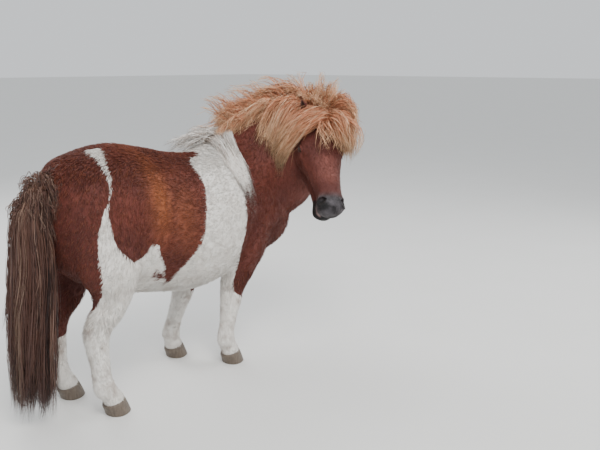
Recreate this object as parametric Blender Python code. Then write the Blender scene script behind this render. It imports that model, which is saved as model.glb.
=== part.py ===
"""A Shetland pony, standing, with its head turned back to its right.

The pony faces +X with +Y on its left, and it stands on Z = 0. All sizes are metres.
Flesh is lofted through a few stations a body part, fused by voxels, then parted with
thin gaps into the pieces that a person would name. Hair is built lock by lock.
"""

import math
import random

import bmesh
import bpy
import numpy as np
from mathutils import Vector
from mathutils.bvhtree import BVHTree

# Sizes of the whole
GAP = 0.0003
VOXEL = 0.0065
SOFTEN, SOFTEN_STEPS = 0.6, 8
FLESH_TRIANGLES = 4500
SLENDER_BELOW = 0.42
FLOOR_CLEARANCE = 0.012
UP = np.array((0.0, 0.0, 1.0))

# Trunk stations: x, top, bottom, half width, fullness above and below the middle
TRUNK = (
    (-0.515, 0.770, 0.650, 0.050, 0.00, 0.00),
    (-0.495, 0.830, 0.560, 0.115, 0.00, 0.00),
    (-0.450, 0.880, 0.500, 0.170, 0.05, 0.00),
    (-0.360, 0.915, 0.440, 0.208, 0.08, 0.00),
    (-0.260, 0.930, 0.400, 0.224, 0.06, 0.00),
    (-0.140, 0.908, 0.370, 0.230, 0.02, 0.00),
    (0.000, 0.875, 0.345, 0.246, 0.00, 0.04),
    (0.120, 0.872, 0.350, 0.240, -0.03, 0.04),
    (0.230, 0.908, 0.375, 0.210, -0.10, 0.02),
    (0.310, 0.915, 0.400, 0.190, -0.12, 0.00),
    (0.390, 0.890, 0.402, 0.182, -0.08, 0.00),
    (0.470, 0.830, 0.418, 0.166, 0.00, 0.04),
    (0.540, 0.760, 0.465, 0.128, 0.00, 0.02),
    (0.575, 0.700, 0.550, 0.060, 0.00, 0.00),
)

# Neck stations: centre x, y, z, reach up, reach down, half width, fullness above, below
NECK = (
    (0.180, 0.000, 0.690, 0.190, 0.160, 0.120, -0.10, 0.0),
    (0.280, 0.000, 0.720, 0.200, 0.240, 0.160, -0.12, 0.0),
    (0.370, -0.010, 0.762, 0.188, 0.260, 0.160, -0.12, 0.0),
    (0.455, -0.055, 0.820, 0.172, 0.264, 0.142, -0.12, 0.0),
    (0.520, -0.125, 0.875, 0.158, 0.234, 0.118, -0.10, 0.0),
    (0.550, -0.200, 0.915, 0.130, 0.170, 0.098, -0.05, 0.0),
    (0.552, -0.270, 0.935, 0.085, 0.115, 0.074, 0.00, 0.0),
)

# Leg stations: x, height, distance from the middle, reach forward, reach back, half width
HIND_LEG = (
    (-0.335, 0.720, 0.105, 0.140, 0.145, 0.080),
    (-0.340, 0.600, 0.118, 0.118, 0.145, 0.090),
    (-0.345, 0.510, 0.128, 0.080, 0.125, 0.082),
    (-0.355, 0.440, 0.128, 0.062, 0.090, 0.064),
    (-0.378, 0.385, 0.122, 0.052, 0.062, 0.048),
    (-0.410, 0.345, 0.118, 0.045, 0.053, 0.043),
    (-0.428, 0.305, 0.116, 0.043, 0.050, 0.042),
    (-0.432, 0.260, 0.116, 0.040, 0.042, 0.037),
    (-0.428, 0.200, 0.116, 0.036, 0.036, 0.033),
    (-0.424, 0.140, 0.116, 0.034, 0.037, 0.032),
    (-0.416, 0.108, 0.116, 0.036, 0.043, 0.035),
    (-0.400, 0.078, 0.116, 0.033, 0.036, 0.033),
    (-0.390, 0.055, 0.116, 0.038, 0.037, 0.038),
    (-0.380, 0.000, 0.116, 0.050, 0.040, 0.046),
)
FORE_LEG = (
    (0.265, 0.660, 0.100, 0.130, 0.115, 0.075),
    (0.268, 0.560, 0.118, 0.126, 0.115, 0.084),
    (0.268, 0.480, 0.123, 0.108, 0.102, 0.082),
    (0.260, 0.410, 0.120, 0.082, 0.080, 0.064),
    (0.250, 0.340, 0.115, 0.056, 0.056, 0.049),
    (0.246, 0.300, 0.112, 0.047, 0.047, 0.044),
    (0.245, 0.265, 0.112, 0.046, 0.044, 0.044),
    (0.243, 0.230, 0.112, 0.040, 0.040, 0.038),
    (0.241, 0.180, 0.112, 0.035, 0.035, 0.032),
    (0.241, 0.135, 0.112, 0.033, 0.037, 0.032),
    (0.245, 0.105, 0.112, 0.036, 0.042, 0.035),
    (0.259, 0.078, 0.112, 0.033, 0.036, 0.033),
    (0.269, 0.055, 0.112, 0.038, 0.037, 0.038),
    (0.279, 0.000, 0.112, 0.050, 0.042, 0.047),
)

# Each leg: its stations, the side it is on, how far its foot is set forward, its knee or hock
LEGS = {
    "hind_leg_right": (HIND_LEG, -1, 0.010, 0.300),
    "hind_leg_left": (HIND_LEG, 1, -0.030, 0.300),
    "fore_leg_right": (FORE_LEG, -1, -0.085, 0.285),
    "fore_leg_left": (FORE_LEG, 1, -0.200, 0.285),
}
SWING_HEIGHT, SWING_END = 0.55, 0.06

# Where each upper leg leaves the trunk: centre x and y, radii, height of its domed top
BLOCK_SIDES = 14
THIGH = (-0.400, 0.165, 0.165, 0.125, 0.58, 0.12)
FOREARM = (0.235, 0.160, 0.140, 0.120, 0.46, 0.12)

# Head stations: distance from the poll, top, bottom, half width, fullness above, below
SKULL = (
    (-0.030, -0.040, -0.125, 0.042, 0.00, 0.00),
    (0.000, -0.014, -0.155, 0.062, 0.05, 0.00),
    (0.050, 0.006, -0.190, 0.080, 0.12, 0.00),
    (0.100, 0.012, -0.200, 0.090, 0.16, -0.10),
    (0.145, 0.008, -0.185, 0.090, 0.16, -0.10),
    (0.190, 0.002, -0.160, 0.079, 0.14, -0.10),
    (0.240, -0.002, -0.130, 0.066, 0.14, -0.05),
    (0.300, -0.002, -0.102, 0.053, 0.16, 0.05),
    (0.345, 0.000, -0.090, 0.050, 0.16, 0.10),
    (0.385, -0.002, -0.088, 0.055, 0.14, 0.10),
    (0.415, -0.014, -0.084, 0.048, 0.10, 0.05),
    (0.432, -0.030, -0.070, 0.026, 0.00, 0.00),
)
JAW = (
    (0.020, -0.090, -0.190, 0.048, 0.00, 0.00),
    (0.055, -0.080, -0.220, 0.064, 0.00, 0.00),
    (0.100, -0.070, -0.232, 0.068, 0.00, 0.00),
    (0.150, -0.070, -0.220, 0.065, 0.00, 0.00),
    (0.200, -0.070, -0.192, 0.056, 0.00, 0.00),
    (0.250, -0.080, -0.164, 0.046, 0.00, 0.00),
    (0.300, -0.090, -0.146, 0.039, 0.00, 0.00),
    (0.340, -0.096, -0.140, 0.037, 0.00, 0.00),
    (0.375, -0.098, -0.146, 0.041, 0.05, 0.05),
    (0.400, -0.098, -0.138, 0.036, 0.00, 0.00),
    (0.413, -0.104, -0.126, 0.018, 0.00, 0.00),
)
POLL = (0.560, -0.285, 0.990)
HEAD_TURN = math.radians(-118)
HEAD_PITCH = math.radians(50)
HEAD_ROLL = math.radians(-9)

# Features of the head, as distance from the poll, height over its top line, side
EYE = (0.135, -0.046, 0.200)
EYE_RADIUS = 0.0175
EYE_SUNK = 0.0115
SOCKET_GAP = 0.0005
LID = 0.0035
LID_LENGTH, LID_HEIGHT = 0.0300, 0.0185
NOSTRIL = (0.370, -0.024, 0.032)
NOSTRIL_RADII = (0.0200, 0.0180, 0.0115)
NOSTRIL_DEEP, NOSTRIL_LONG = (-0.62, -0.25, -0.70), (0.25, 0.80, -0.45)
MOUTH = (
    (0.338, -0.0935, 0.0008),
    (0.362, -0.0935, 0.0035),
    (0.395, -0.0930, 0.0055),
    (0.450, -0.0920, 0.0070),
)
MOUTH_HALF = 0.10
EAR = (0.030, -0.010, 0.052)
EAR_LENGTH, EAR_WIDTH, EAR_WALL = 0.105, 0.030, 0.0045
EAR_LEAN, EAR_OPENING = (-0.58, 0.66, 0.45), (0.75, 0.35, 0.55)
EAR_SUNK, EAR_CURL = 0.030, 0.018

# Bumps that the lofts leave out: place, three radii, height
BODY_BUMPS = (
    ((-0.300, 0.135, 0.865), (0.050, 0.040, 0.050), 0.010),
    ((-0.230, 0.215, 0.620), (0.070, 0.060, 0.100), -0.010),
    ((-0.330, 0.215, 0.560), (0.060, 0.060, 0.070), 0.010),
    ((0.330, 0.190, 0.700), (0.050, 0.060, 0.130), 0.010),
    ((0.400, 0.150, 0.600), (0.050, 0.050, 0.050), 0.014),
    ((0.170, 0.180, 0.520), (0.050, 0.060, 0.050), 0.008),
    ((0.120, 0.230, 0.640), (0.070, 0.070, 0.150), -0.008),
)
HEAD_BUMPS = (
    ((0.125, -0.025, 0.090), (0.028, 0.014, 0.030), 0.008),
    ((0.120, -0.130, 0.085), (0.060, 0.055, 0.040), 0.010),
    ((0.075, -0.045, 0.085), (0.025, 0.022, 0.030), -0.007),
    ((0.195, -0.060, 0.080), (0.060, 0.010, 0.030), 0.005),
    ((0.386, -0.030, 0.045), (0.020, 0.022, 0.020), 0.008),
    ((0.340, -0.060, 0.055), (0.035, 0.020, 0.020), -0.004),
)
CHIN_BUMPS = (
    ((0.405, -0.078, 0.0), (0.020, 0.012, 0.040), 0.005),
    ((0.385, -0.135, 0.0), (0.022, 0.020, 0.030), 0.005),
)

# Blocks that part the head, the neck and the lower legs
HEAD_BLOCK = (
    (-0.045, 0.20),
    (-0.030, 0.0),
    (0.012, -0.235),
    (0.080, -0.275),
    (0.600, -0.275),
    (0.600, 0.20),
)
HEAD_BLOCK_MIDDLE, HEAD_BLOCK_HALF = (0.3, -0.03), 0.115
NECK_BLOCK_START, NECK_BLOCK_AHEAD = (0.300, 0.0, 0.900), (0.80, 0.0, 0.60)
NECK_BLOCK = (1.0, 1.0, 1.2)
LOWER_LEG_BLOCK, LOWER_LEG_BACK = (0.16, 0.085), 0.00

# Hooves: slope and height of the coronet, the block that parts it, and the rings
HOOF_SLOPE = math.radians(17)
HOOF_HEIGHT = 0.050
HOOF_LEAN = 0.012
HOOF_BLOCK = (0.085, 0.058, 0.060)
HOOF_SIDES = 16
HOOF_RINGS = (
    (0.00, 0.052, 0.036, 0.045, 0.000),
    (0.50, 0.046, 0.036, 0.042, -0.006),
    (0.88, 0.041, 0.036, 0.038, -0.012),
    (1.00, 0.037, 0.034, 0.035, -0.014),
)

# Tail: root, then its middle line down to just over the floor
TAIL_LINE = (
    (-0.455, 0.000, 0.795),
    (-0.500, 0.000, 0.825),
    (-0.548, 0.002, 0.745),
    (-0.568, 0.006, 0.580),
    (-0.580, 0.012, 0.400),
    (-0.592, 0.020, 0.210),
    (-0.600, 0.026, 0.030),
)

# Locks of the tail, a row for each tier: start on the tail's line, how many, how far out
TAIL_TIERS = (
    (0.06, 7, 1.06),
    (0.20, 8, 0.92),
    (0.36, 6, 0.66),
    (0.48, 3, 0.38),
)
TAIL_LOCK = (0.050, 0.006)

# Locks of the mane: first and last place along the neck, how many, width, thickness
LOCK_POINTS = 4
WITHERS_CORE = (0.100, 0.400, 0.022, 0.028, 0.026)
CREST_CORE = (0.415, 0.985, 0.030, 0.030, 0.030)
LAYER = 0.008
WITHERS_FALL = (0.13, 0.39, 8, 0.040, 0.005)
WITHERS_BLOWN = (0.10, 0.38, 5, 0.030, 0.006)
CREST_RAISED = (0.43, 0.99, 11, 0.042, 0.006)
CREST_LEFT = (0.42, 0.98, 11, 0.058, 0.005)
CREST_RIGHT = (0.84, 0.99, 5, 0.054, 0.005)
CREST_SWEPT = (0.43, 0.90, 9, 0.050, 0.005)

# Forelock: its bushy crown, then rows of locks: how many, width, thickness, and the root,
# middle and tip of the row on the head, each with how far the locks stand apart there
CROWN, CROWN_RADII = (0.008, 0.032), (0.048, 0.046, 0.056)
FORELOCK = (
    (
        (8, 0.050, 0.005),
        ((0.015, 0.030, 0.012), (0.020, 0.010, 0.028)),
        ((0.050, 0.010, -0.092), (0.030, 0.030, 0.014)),
        ((0.085, -0.190, -0.145), (0.055, 0.045, 0.012)),
    ),
    (
        (6, 0.050, 0.005),
        ((0.020, 0.025, 0.020), (0.015, 0.010, 0.022)),
        ((0.075, 0.065, 0.075), (0.028, 0.030, 0.022)),
        ((0.150, -0.015, 0.118), (0.030, 0.030, 0.014)),
    ),
)

# Colours of the coat and its parts
CHESTNUT = (0.150, 0.045, 0.025)
WHITE = (0.720, 0.690, 0.640)
GINGER = (0.480, 0.220, 0.100)
TAIL_BROWN = (0.140, 0.085, 0.055)
HORN = (0.110, 0.085, 0.065)
EYE_BROWN = (0.020, 0.010, 0.006)


def smooth(keys, rows, at):
    """Values at the places at, on a cubic curve through rows of values at keys."""
    keys = np.asarray(keys, float)
    rows = np.asarray(rows, float)
    slope = np.gradient(rows, keys, axis=0)
    i = np.clip(np.searchsorted(keys, at, side="right") - 1, 0, len(keys) - 2)
    step = (keys[i + 1] - keys[i])[:, None]
    u = (at - keys[i])[:, None] / step
    start = (2 * u**3 - 3 * u**2 + 1) * rows[i] + (u**3 - 2 * u**2 + u) * slope[i] * step
    end = (3 * u**2 - 2 * u**3) * rows[i + 1] + (u**3 - u**2) * slope[i + 1] * step
    return start + end


def unit(vectors):
    """Vectors at length one."""
    vectors = np.asarray(vectors, float)
    return vectors / np.linalg.norm(vectors, axis=-1, keepdims=True)


def loft(centre, up, side, top, bottom, width, upper, lower, around):
    """Rings of points: an oval at each centre, fuller at its corners by upper and lower."""
    angle = np.linspace(0, 2 * np.pi, around, endpoint=False)
    across, rise = np.sin(angle), np.cos(angle)
    middle, half = (top + bottom)[:, None] / 2, (top - bottom)[:, None] / 2
    full = np.where(rise > 0, upper[:, None], lower[:, None]) * np.sin(2 * angle) ** 2
    y = width[:, None] * across * (1 + full)
    z = middle + half * rise * (1 + full / 2)
    return centre[:, None, :] + up[:, None, :] * z[:, :, None] + side[:, None, :] * y[:, :, None]


def trunk_rings(count=60, around=40):
    """Rings of the trunk along x."""
    rows = np.array(TRUNK)
    x = np.linspace(rows[0, 0], rows[-1, 0], count)
    v = smooth(rows[:, 0], rows[:, 1:], x)
    centre = np.stack([x, 0 * x, 0 * x], 1)
    up = np.tile([0.0, 0.0, 1.0], (count, 1))
    side = np.tile([0.0, 1.0, 0.0], (count, 1))
    return loft(centre, up, side, v[:, 0], v[:, 1], v[:, 2], v[:, 3], v[:, 4], around)


def neck_stations(at):
    """Centre, up, side and the sizes of the neck at places 0 to 1 along it."""
    rows = np.array(NECK)
    along = np.r_[0, np.cumsum(np.linalg.norm(np.diff(rows[:, :3], axis=0), axis=1))]
    v = smooth(along / along[-1], rows, at)
    ahead = smooth(along / along[-1], rows[:, :3], np.minimum(at + 0.01, 1))
    behind = smooth(along / along[-1], rows[:, :3], np.maximum(at - 0.01, 0))
    along_neck = unit(ahead - behind)
    side = unit(np.cross([0.0, 0.0, 1.0], along_neck))
    up = np.cross(along_neck, side)
    return v, along_neck, up, side


def neck_rings(count=50, around=32):
    """Rings of the neck from inside the trunk to inside the head."""
    v, _, up, side = neck_stations(np.linspace(0, 1, count))
    return loft(v[:, :3], up, side, v[:, 3], -v[:, 4], v[:, 5], v[:, 6], v[:, 7], around)


def leg_rings(stations, hand, forward, count=60, around=24):
    """Rings of a leg, square to its middle line, from inside the trunk to the floor."""
    rows = np.array(stations)
    swing = np.clip((SWING_HEIGHT - rows[:, 1]) / (SWING_HEIGHT - SWING_END), 0, 1) * forward
    line = np.stack([rows[:, 0] + swing, rows[:, 2] * hand, rows[:, 1]], 1)
    along = np.r_[0, np.cumsum(np.linalg.norm(np.diff(line, axis=0), axis=1))]
    at = np.linspace(0, along[-1], count)
    v = smooth(along, np.hstack([line, rows[:, 3:]]), at)
    down = unit(np.gradient(v[:, :3], axis=0))
    side = np.tile([0.0, 1.0, 0.0], (count, 1))
    front = unit(np.cross(side, down))
    front *= np.sign(front[:, :1])
    flat = np.zeros(count)
    return loft(v[:, :3], front, side, v[:, 3], -v[:, 4], v[:, 5], flat, flat, around)


def head_axes():
    """Directions of the head: along its face, out of its forehead, and to its left."""
    ahead = np.array([math.cos(HEAD_TURN), math.sin(HEAD_TURN), 0.0])
    up = np.array([0.0, 0.0, 1.0])
    face = ahead * math.cos(HEAD_PITCH) - up * math.sin(HEAD_PITCH)
    brow = ahead * math.sin(HEAD_PITCH) + up * math.cos(HEAD_PITCH)

    def rolled(v):
        turned = v * math.cos(HEAD_ROLL) + np.cross(ahead, v) * math.sin(HEAD_ROLL)
        return turned + ahead * (ahead @ v) * (1 - math.cos(HEAD_ROLL))

    face, brow = rolled(face), rolled(brow)
    return face, brow, np.cross(brow, face)


FACE, BROW, LEFT = head_axes()


def on_head(along, over, left=0.0):
    """World places of points given along the face, over its top line and to its left."""
    sizes = ((along, FACE), (over, BROW), (left, LEFT))
    place = [np.multiply.outer(np.asarray(size, float), direction) for size, direction in sizes]
    return np.array(POLL) + place[0] + place[1] + place[2]


def head_direction(sizes, hand):
    """A direction given along the face, out of the brow and to the outside of a side."""
    return FACE * sizes[0] + BROW * sizes[1] + LEFT * hand * sizes[2]


def head_rings(stations, count=50, around=32):
    """Rings of the skull or the jaw along the face."""
    rows = np.array(stations)
    s = np.linspace(rows[0, 0], rows[-1, 0], count)
    v = smooth(rows[:, 0], rows[:, 1:], s)
    up, side = np.tile(BROW, (count, 1)), np.tile(LEFT, (count, 1))
    centre = on_head(s, 0 * s)
    return loft(centre, up, side, v[:, 0], v[:, 1], v[:, 2], v[:, 3], v[:, 4], around)


def closed(rings):
    """Points and faces of a closed skin over rings, with a fan at each end."""
    count, around = rings.shape[:2]
    points = np.concatenate([rings.reshape(-1, 3), [rings[0].mean(0)], [rings[-1].mean(0)]])
    i, j = np.meshgrid(np.arange(count - 1), np.arange(around), indexing="ij")
    k = (j + 1) % around
    walls = np.stack([i * around + j, i * around + k, (i + 1) * around + k, (i + 1) * around + j], -1)
    faces = [list(map(int, quad)) for quad in walls.reshape(-1, 4)]
    first, last = count * around, count * around + 1
    for j in range(around):
        k = (j + 1) % around
        faces.append([k, j, first])
        faces.append([(count - 1) * around + j, (count - 1) * around + k, last])
    return points, faces


def material(name, colour, roughness=0.7):
    """A plain finish."""
    finish = bpy.data.materials.new(name)
    finish.use_nodes = True
    shader = finish.node_tree.nodes["Principled BSDF"]
    shader.inputs["Base Color"].default_value = (*colour, 1.0)
    shader.inputs["Roughness"].default_value = roughness
    return finish


def new_object(name, points, faces):
    """An object of triangles that point outwards."""
    mesh = bpy.data.meshes.new(name)
    mesh.from_pydata([tuple(map(float, p)) for p in points], [], faces)
    body = bmesh.new()
    body.from_mesh(mesh)
    bmesh.ops.triangulate(body, faces=body.faces)
    bmesh.ops.recalc_face_normals(body, faces=body.faces)
    if body.calc_volume(signed=True) < 0:
        bmesh.ops.reverse_faces(body, faces=body.faces)
    body.to_mesh(mesh)
    body.free()
    thing = bpy.data.objects.new(name, mesh)
    bpy.context.scene.collection.objects.link(thing)
    return thing


def apply_all(thing):
    """The object's mesh with its modifiers applied."""
    view = bpy.context.evaluated_depsgraph_get()
    mesh = bpy.data.meshes.new_from_object(thing.evaluated_get(view))
    thing.modifiers.clear()
    thing.data = mesh


def remove(*things):
    """Takes objects out of the scene."""
    for thing in things:
        bpy.data.objects.remove(thing)


def largest_surface(thing):
    """Keeps the object's largest closed surface."""
    body = bmesh.new()
    body.from_mesh(thing.data)
    left = set(body.faces)
    islands = []
    while left:
        island = []
        stack = [left.pop()]
        while stack:
            face = stack.pop()
            island.append(face)
            for edge in face.edges:
                for other in edge.link_faces:
                    if other in left:
                        left.remove(other)
                        stack.append(other)
        islands.append(island)
    islands.sort(key=lambda island: sum(face.calc_area() for face in island))
    for island in islands[:-1]:
        bmesh.ops.delete(body, geom=island, context="FACES")
    body.to_mesh(thing.data)
    body.free()


def boolean(thing, operation, *others, solver="EXACT", keep=False):
    """Joins, cuts or crosses the object with the others, then removes them."""
    group = bpy.data.collections.new("operands")
    for other in others:
        group.objects.link(other)
    step = thing.modifiers.new("boolean", "BOOLEAN")
    step.operation = operation
    step.operand_type = "COLLECTION"
    step.collection = group
    step.solver = solver
    apply_all(thing)
    bpy.data.collections.remove(group)
    if not keep:
        remove(*others)
    return thing


def copy_of(thing, name):
    """A second object with its own mesh."""
    twin = thing.copy()
    twin.data = thing.data.copy()
    twin.name = name
    bpy.context.scene.collection.objects.link(twin)
    return twin


def grown(thing, by=GAP):
    """A copy of the object, grown along its normals."""
    twin = copy_of(thing, "grown")
    step = twin.modifiers.new("grow", "DISPLACE")
    step.mid_level = 0.0
    step.strength = by
    apply_all(twin)
    return twin


def box(centre, half, turn=None):
    """A box about a centre; turn holds its three directions as rows."""
    axes = np.eye(3) if turn is None else np.array(turn)
    corners = [(x, y, z) for x in (-1, 1) for y in (-1, 1) for z in (-1, 1)]
    points = np.array(centre) + (np.array(corners) * half) @ axes
    faces = [(0, 1, 3, 2), (4, 6, 7, 5), (0, 4, 5, 1), (2, 3, 7, 6), (0, 2, 6, 4), (1, 5, 7, 3)]
    return new_object("box", points, faces)


def prism(outline, direction):
    """A prism over a flat outline of world points, carried both ways along direction."""
    outline = np.array(outline)
    n = len(outline)
    points = np.concatenate([outline - direction, outline + direction])
    walls = [(i, (i + 1) % n, n + (i + 1) % n, n + i) for i in range(n)]
    return new_object("prism", points, [tuple(range(n))[::-1], tuple(range(n, 2 * n)), *walls])


def flesh():
    """Trunk, neck, head and legs, fused by voxels, smoothed and shaped."""
    rings = [trunk_rings(), neck_rings(), head_rings(SKULL), head_rings(JAW)]
    rings += [leg_rings(stations, hand, forward) for stations, hand, forward, _ in LEGS.values()]
    points, faces, start = [], [], 0
    for form in rings:
        some, skins = closed(form)
        points.append(some)
        faces += [[start + i for i in face] for face in skins]
        start += len(some)
    body = new_object("flesh", np.concatenate(points), faces)
    fuse = body.modifiers.new("fuse", "REMESH")
    fuse.mode = "VOXEL"
    fuse.voxel_size = VOXEL
    soften = body.modifiers.new("soften", "SMOOTH")
    soften.factor = SOFTEN
    soften.iterations = SOFTEN_STEPS
    apply_all(body)
    largest_surface(body)
    return body


def swell(body, bumps):
    """Moves the skin out or in: each bump is a place, three radii, its axes and a height."""
    mesh = body.data
    count = len(mesh.vertices)
    points, normals = np.empty(count * 3), np.empty(count * 3)
    mesh.vertices.foreach_get("co", points)
    mesh.vertex_normals.foreach_get("vector", normals)
    points, normals = points.reshape(-1, 3), normals.reshape(-1, 3)
    lift = np.zeros(count)
    for place, radii, axes, height in bumps:
        away = (points - place) @ np.array(axes).T / radii
        lift += height * np.exp(-(away**2).sum(1))
    mesh.vertices.foreach_set("co", (points + normals * lift[:, None]).ravel())


def muscles():
    """The bumps with their axes: those of the body and the head lie on both sides."""
    plain, head_axes_rows = np.eye(3), (FACE, BROW, LEFT)
    bumps = []
    for (x, y, z), radii, height in BODY_BUMPS:
        for hand in (-1, 1):
            bumps.append(((x, y * hand, z), radii, plain, height))
    for (s, d, w), radii, height in HEAD_BUMPS:
        for hand in (-1, 1):
            bumps.append((on_head(s, d, w * hand), radii, head_axes_rows, height))
    for (s, d, w), radii, height in CHIN_BUMPS:
        bumps.append((on_head(s, d, w), radii, head_axes_rows, height))
    return bumps


def thin_out(body):
    """Fewer triangles, and more of them left on the head than elsewhere."""
    mesh = body.data
    count = len(mesh.vertices)
    points = np.empty(count * 3)
    mesh.vertices.foreach_get("co", points)
    local = points.reshape(-1, 3) - np.array(POLL)
    along = local @ FACE
    head = (along > -0.02) & (np.abs(local @ LEFT) < 0.13) & (local @ BROW > -0.26)
    legs = (points.reshape(-1, 3)[:, 2] < SLENDER_BELOW) & ~head
    group = body.vertex_groups.new(name="loss")
    for region, loss in ((~head & ~legs, 1.0), (legs, 0.7), (head, 0.5), (head & (along > 0.32), 0.3)):
        group.add([int(i) for i in np.flatnonzero(region)], loss, "REPLACE")
    fewer = body.modifiers.new("fewer", "DECIMATE")
    triangles = sum(len(face.vertices) - 2 for face in mesh.polygons)
    fewer.ratio = FLESH_TRIANGLES / triangles
    fewer.vertex_group = group.name
    fewer.use_collapse_triangulate = True
    fewer.vertex_group_factor = 0.2
    apply_all(body)
    body.vertex_groups.clear()
    largest_surface(body)


def leg_floor_centre(stations, hand, forward):
    """Where the middle line of a leg meets the floor."""
    x, _, y = stations[-1][:3]
    return np.array((x + forward, y * hand, 0.0))


def coronet(centre, grow=0.0):
    """The block that holds a hoof: its top slopes down from toe to heel."""
    c, s = math.cos(HOOF_SLOPE), math.sin(HOOF_SLOPE)
    turn = [(c, 0, s), (0, 1, 0), (-s, 0, c)]
    top = np.array(turn[2])
    middle = centre + np.array((-HOOF_LEAN, 0.0, HOOF_HEIGHT)) - top * (HOOF_BLOCK[2] - grow)
    return box(middle, HOOF_BLOCK, turn)


def hoof(name, centre):
    """An upright cone, cut level at the floor and sloping at the top, wider at the toe."""
    angle = np.linspace(0, 2 * np.pi, HOOF_SIDES, endpoint=False)
    rings = []
    for height, reach, back, half, shift in HOOF_RINGS:
        x = np.where(np.cos(angle) > 0, reach, back) * np.cos(angle) + shift
        z = height * (HOOF_HEIGHT + math.tan(HOOF_SLOPE) * (x + HOOF_LEAN)) - height * GAP
        rings.append(np.stack([centre[0] + x, centre[1] + half * np.sin(angle), z], 1))
    rings = np.array(rings)
    points = rings.reshape(-1, 3)
    n = HOOF_SIDES
    faces = [tuple(range(n)), tuple(range(len(points) - n, len(points)))]
    for a in range(0, len(points) - n, n):
        faces += [(a + i, a + (i + 1) % n, a + n + (i + 1) % n, a + n + i) for i in range(n)]
    return new_object(name, points, faces)


def upper_leg_block(hand, forward, sizes, grow=0.0):
    """The rounded block that parts a thigh or a shoulder from the trunk."""
    x, y, radius_x, radius_y, top, dome = sizes
    rise = np.linspace(0, np.pi / 2, 5)[1:4]
    heights = np.r_[-0.05, top, top + dome * np.sin(rise)]
    shrink = np.r_[1, 1, np.cos(rise)]
    angle = np.linspace(0, 2 * np.pi, BLOCK_SIDES, endpoint=False)
    rings = [
        np.stack([
            x + forward / 3 + (radius_x * k + grow) * np.cos(angle),
            y * hand + (radius_y * k + grow) * np.sin(angle),
            np.full(BLOCK_SIDES, z + grow),
        ], 1)
        for z, k in zip(heights, shrink)
    ]
    return new_object("block", *closed(np.array(rings)))


def head_block(grow=0.0):
    """The block in front of the poll and the throat."""
    middle = np.array(HEAD_BLOCK_MIDDLE)
    points = []
    for s, d in HEAD_BLOCK:
        away = np.array((s, d)) - middle
        s, d = middle + away * (1 + grow / np.abs(away).min())
        points.append(on_head(s, d))
    return prism(points, LEFT * (HEAD_BLOCK_HALF + grow))


def neck_block(grow=0.0):
    """The half of space in front of the withers and the breast."""
    ahead = unit(np.array(NECK_BLOCK_AHEAD))
    above = np.array((-ahead[2], 0.0, ahead[0]))
    start = np.array(NECK_BLOCK_START) - ahead * grow
    return box(start + ahead * NECK_BLOCK[0], NECK_BLOCK, (ahead, (0, 1, 0), above))


def part_off(body, name, block):
    """Parts the piece inside a block off the body, with a thin gap, and returns it."""
    piece = copy_of(body, name)
    boolean(piece, "INTERSECT", block())
    largest_surface(piece)
    boolean(body, "DIFFERENCE", block(GAP))
    largest_surface(body)
    return piece


def skin_tree(thing):
    """A search tree over the object's faces."""
    view = bpy.context.evaluated_depsgraph_get()
    return BVHTree.FromObject(thing, view)


def eye_centres(tree):
    """Middle of each eyeball, sunk into the side of the head."""
    places = {}
    for hand, word in ((-1, "right"), (1, "left")):
        start = Vector(on_head(EYE[0], EYE[1], EYE[2] * hand))
        inward = Vector(-LEFT * hand)
        hit, normal, _, _ = tree.ray_cast(start, inward)
        places[word] = (np.array(hit - normal * EYE_SUNK), np.array(normal))
    return places


def ball(name, centre, radius, scale=(1, 1, 1), axes=None, rings=6, around=10):
    """An ellipsoid along the given axes."""
    axes = np.eye(3) if axes is None else np.array(axes)
    lat = np.linspace(0, np.pi, rings + 1)[1:-1]
    angle = np.linspace(0, 2 * np.pi, around, endpoint=False)
    shell = np.stack([
        np.outer(np.cos(lat), np.ones(around)),
        np.outer(np.sin(lat), np.cos(angle)),
        np.outer(np.sin(lat), np.sin(angle)),
    ], -1) * radius * np.array(scale)
    points, faces = closed(shell)
    points[-2] = (radius * scale[0], 0, 0)
    points[-1] = (-radius * scale[0], 0, 0)
    return new_object(name, np.array(centre) + points @ axes, faces)


def carve_head(head, eyes):
    """Lids round each eye, nostrils, and the gap of the mouth."""
    for centre, out in eyes.values():
        along = unit(FACE - out * (FACE @ out))
        above = np.cross(out, along)
        axes = (out, along, above)
        boolean(head, "UNION", ball("lid", centre, EYE_RADIUS + LID, axes=axes), solver="MANIFOLD")
        angle = np.linspace(0, 2 * np.pi, 16, endpoint=False)
        tall = LID_HEIGHT / 2 * np.sign(np.sin(angle)) * np.abs(np.sin(angle)) ** 1.3
        wide = LID_LENGTH / 2 * np.cos(angle)
        outline = centre + out * 0.025 + along * wide[:, None] + above * tall[:, None]
        boolean(head, "DIFFERENCE", prism(outline, out * 0.020), solver="MANIFOLD")
        socket = ball("socket", centre, EYE_RADIUS + SOCKET_GAP, axes=axes)
        boolean(head, "DIFFERENCE", socket, solver="MANIFOLD")
    tree = skin_tree(head)
    for hand in (-1, 1):
        deep = unit(head_direction(NOSTRIL_DEEP, hand))
        start = on_head(NOSTRIL[0], NOSTRIL[1], NOSTRIL[2] * hand) - deep * 0.2
        place = np.array(tree.ray_cast(Vector(start), Vector(deep))[0])
        long_way = unit(head_direction(NOSTRIL_LONG, hand))
        long_way = unit(long_way - deep * (long_way @ deep))
        wide = np.cross(deep, long_way)
        hole = ball("nostril", place, 1.0, NOSTRIL_RADII, (deep, long_way, wide), 6, 10)
        boolean(head, "DIFFERENCE", hole, solver="MANIFOLD")
    rings = []
    for s, d, half in MOUTH:
        wide = MOUTH_HALF
        corners = ((d + half, -wide), (d + half, wide), (d - half, wide), (d - half, -wide))
        rings.append([on_head(s, over, left) for over, left in corners])
    boolean(head, "DIFFERENCE", new_object("mouth", *closed(np.array(rings))), solver="MANIFOLD")
    largest_surface(head)


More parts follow.
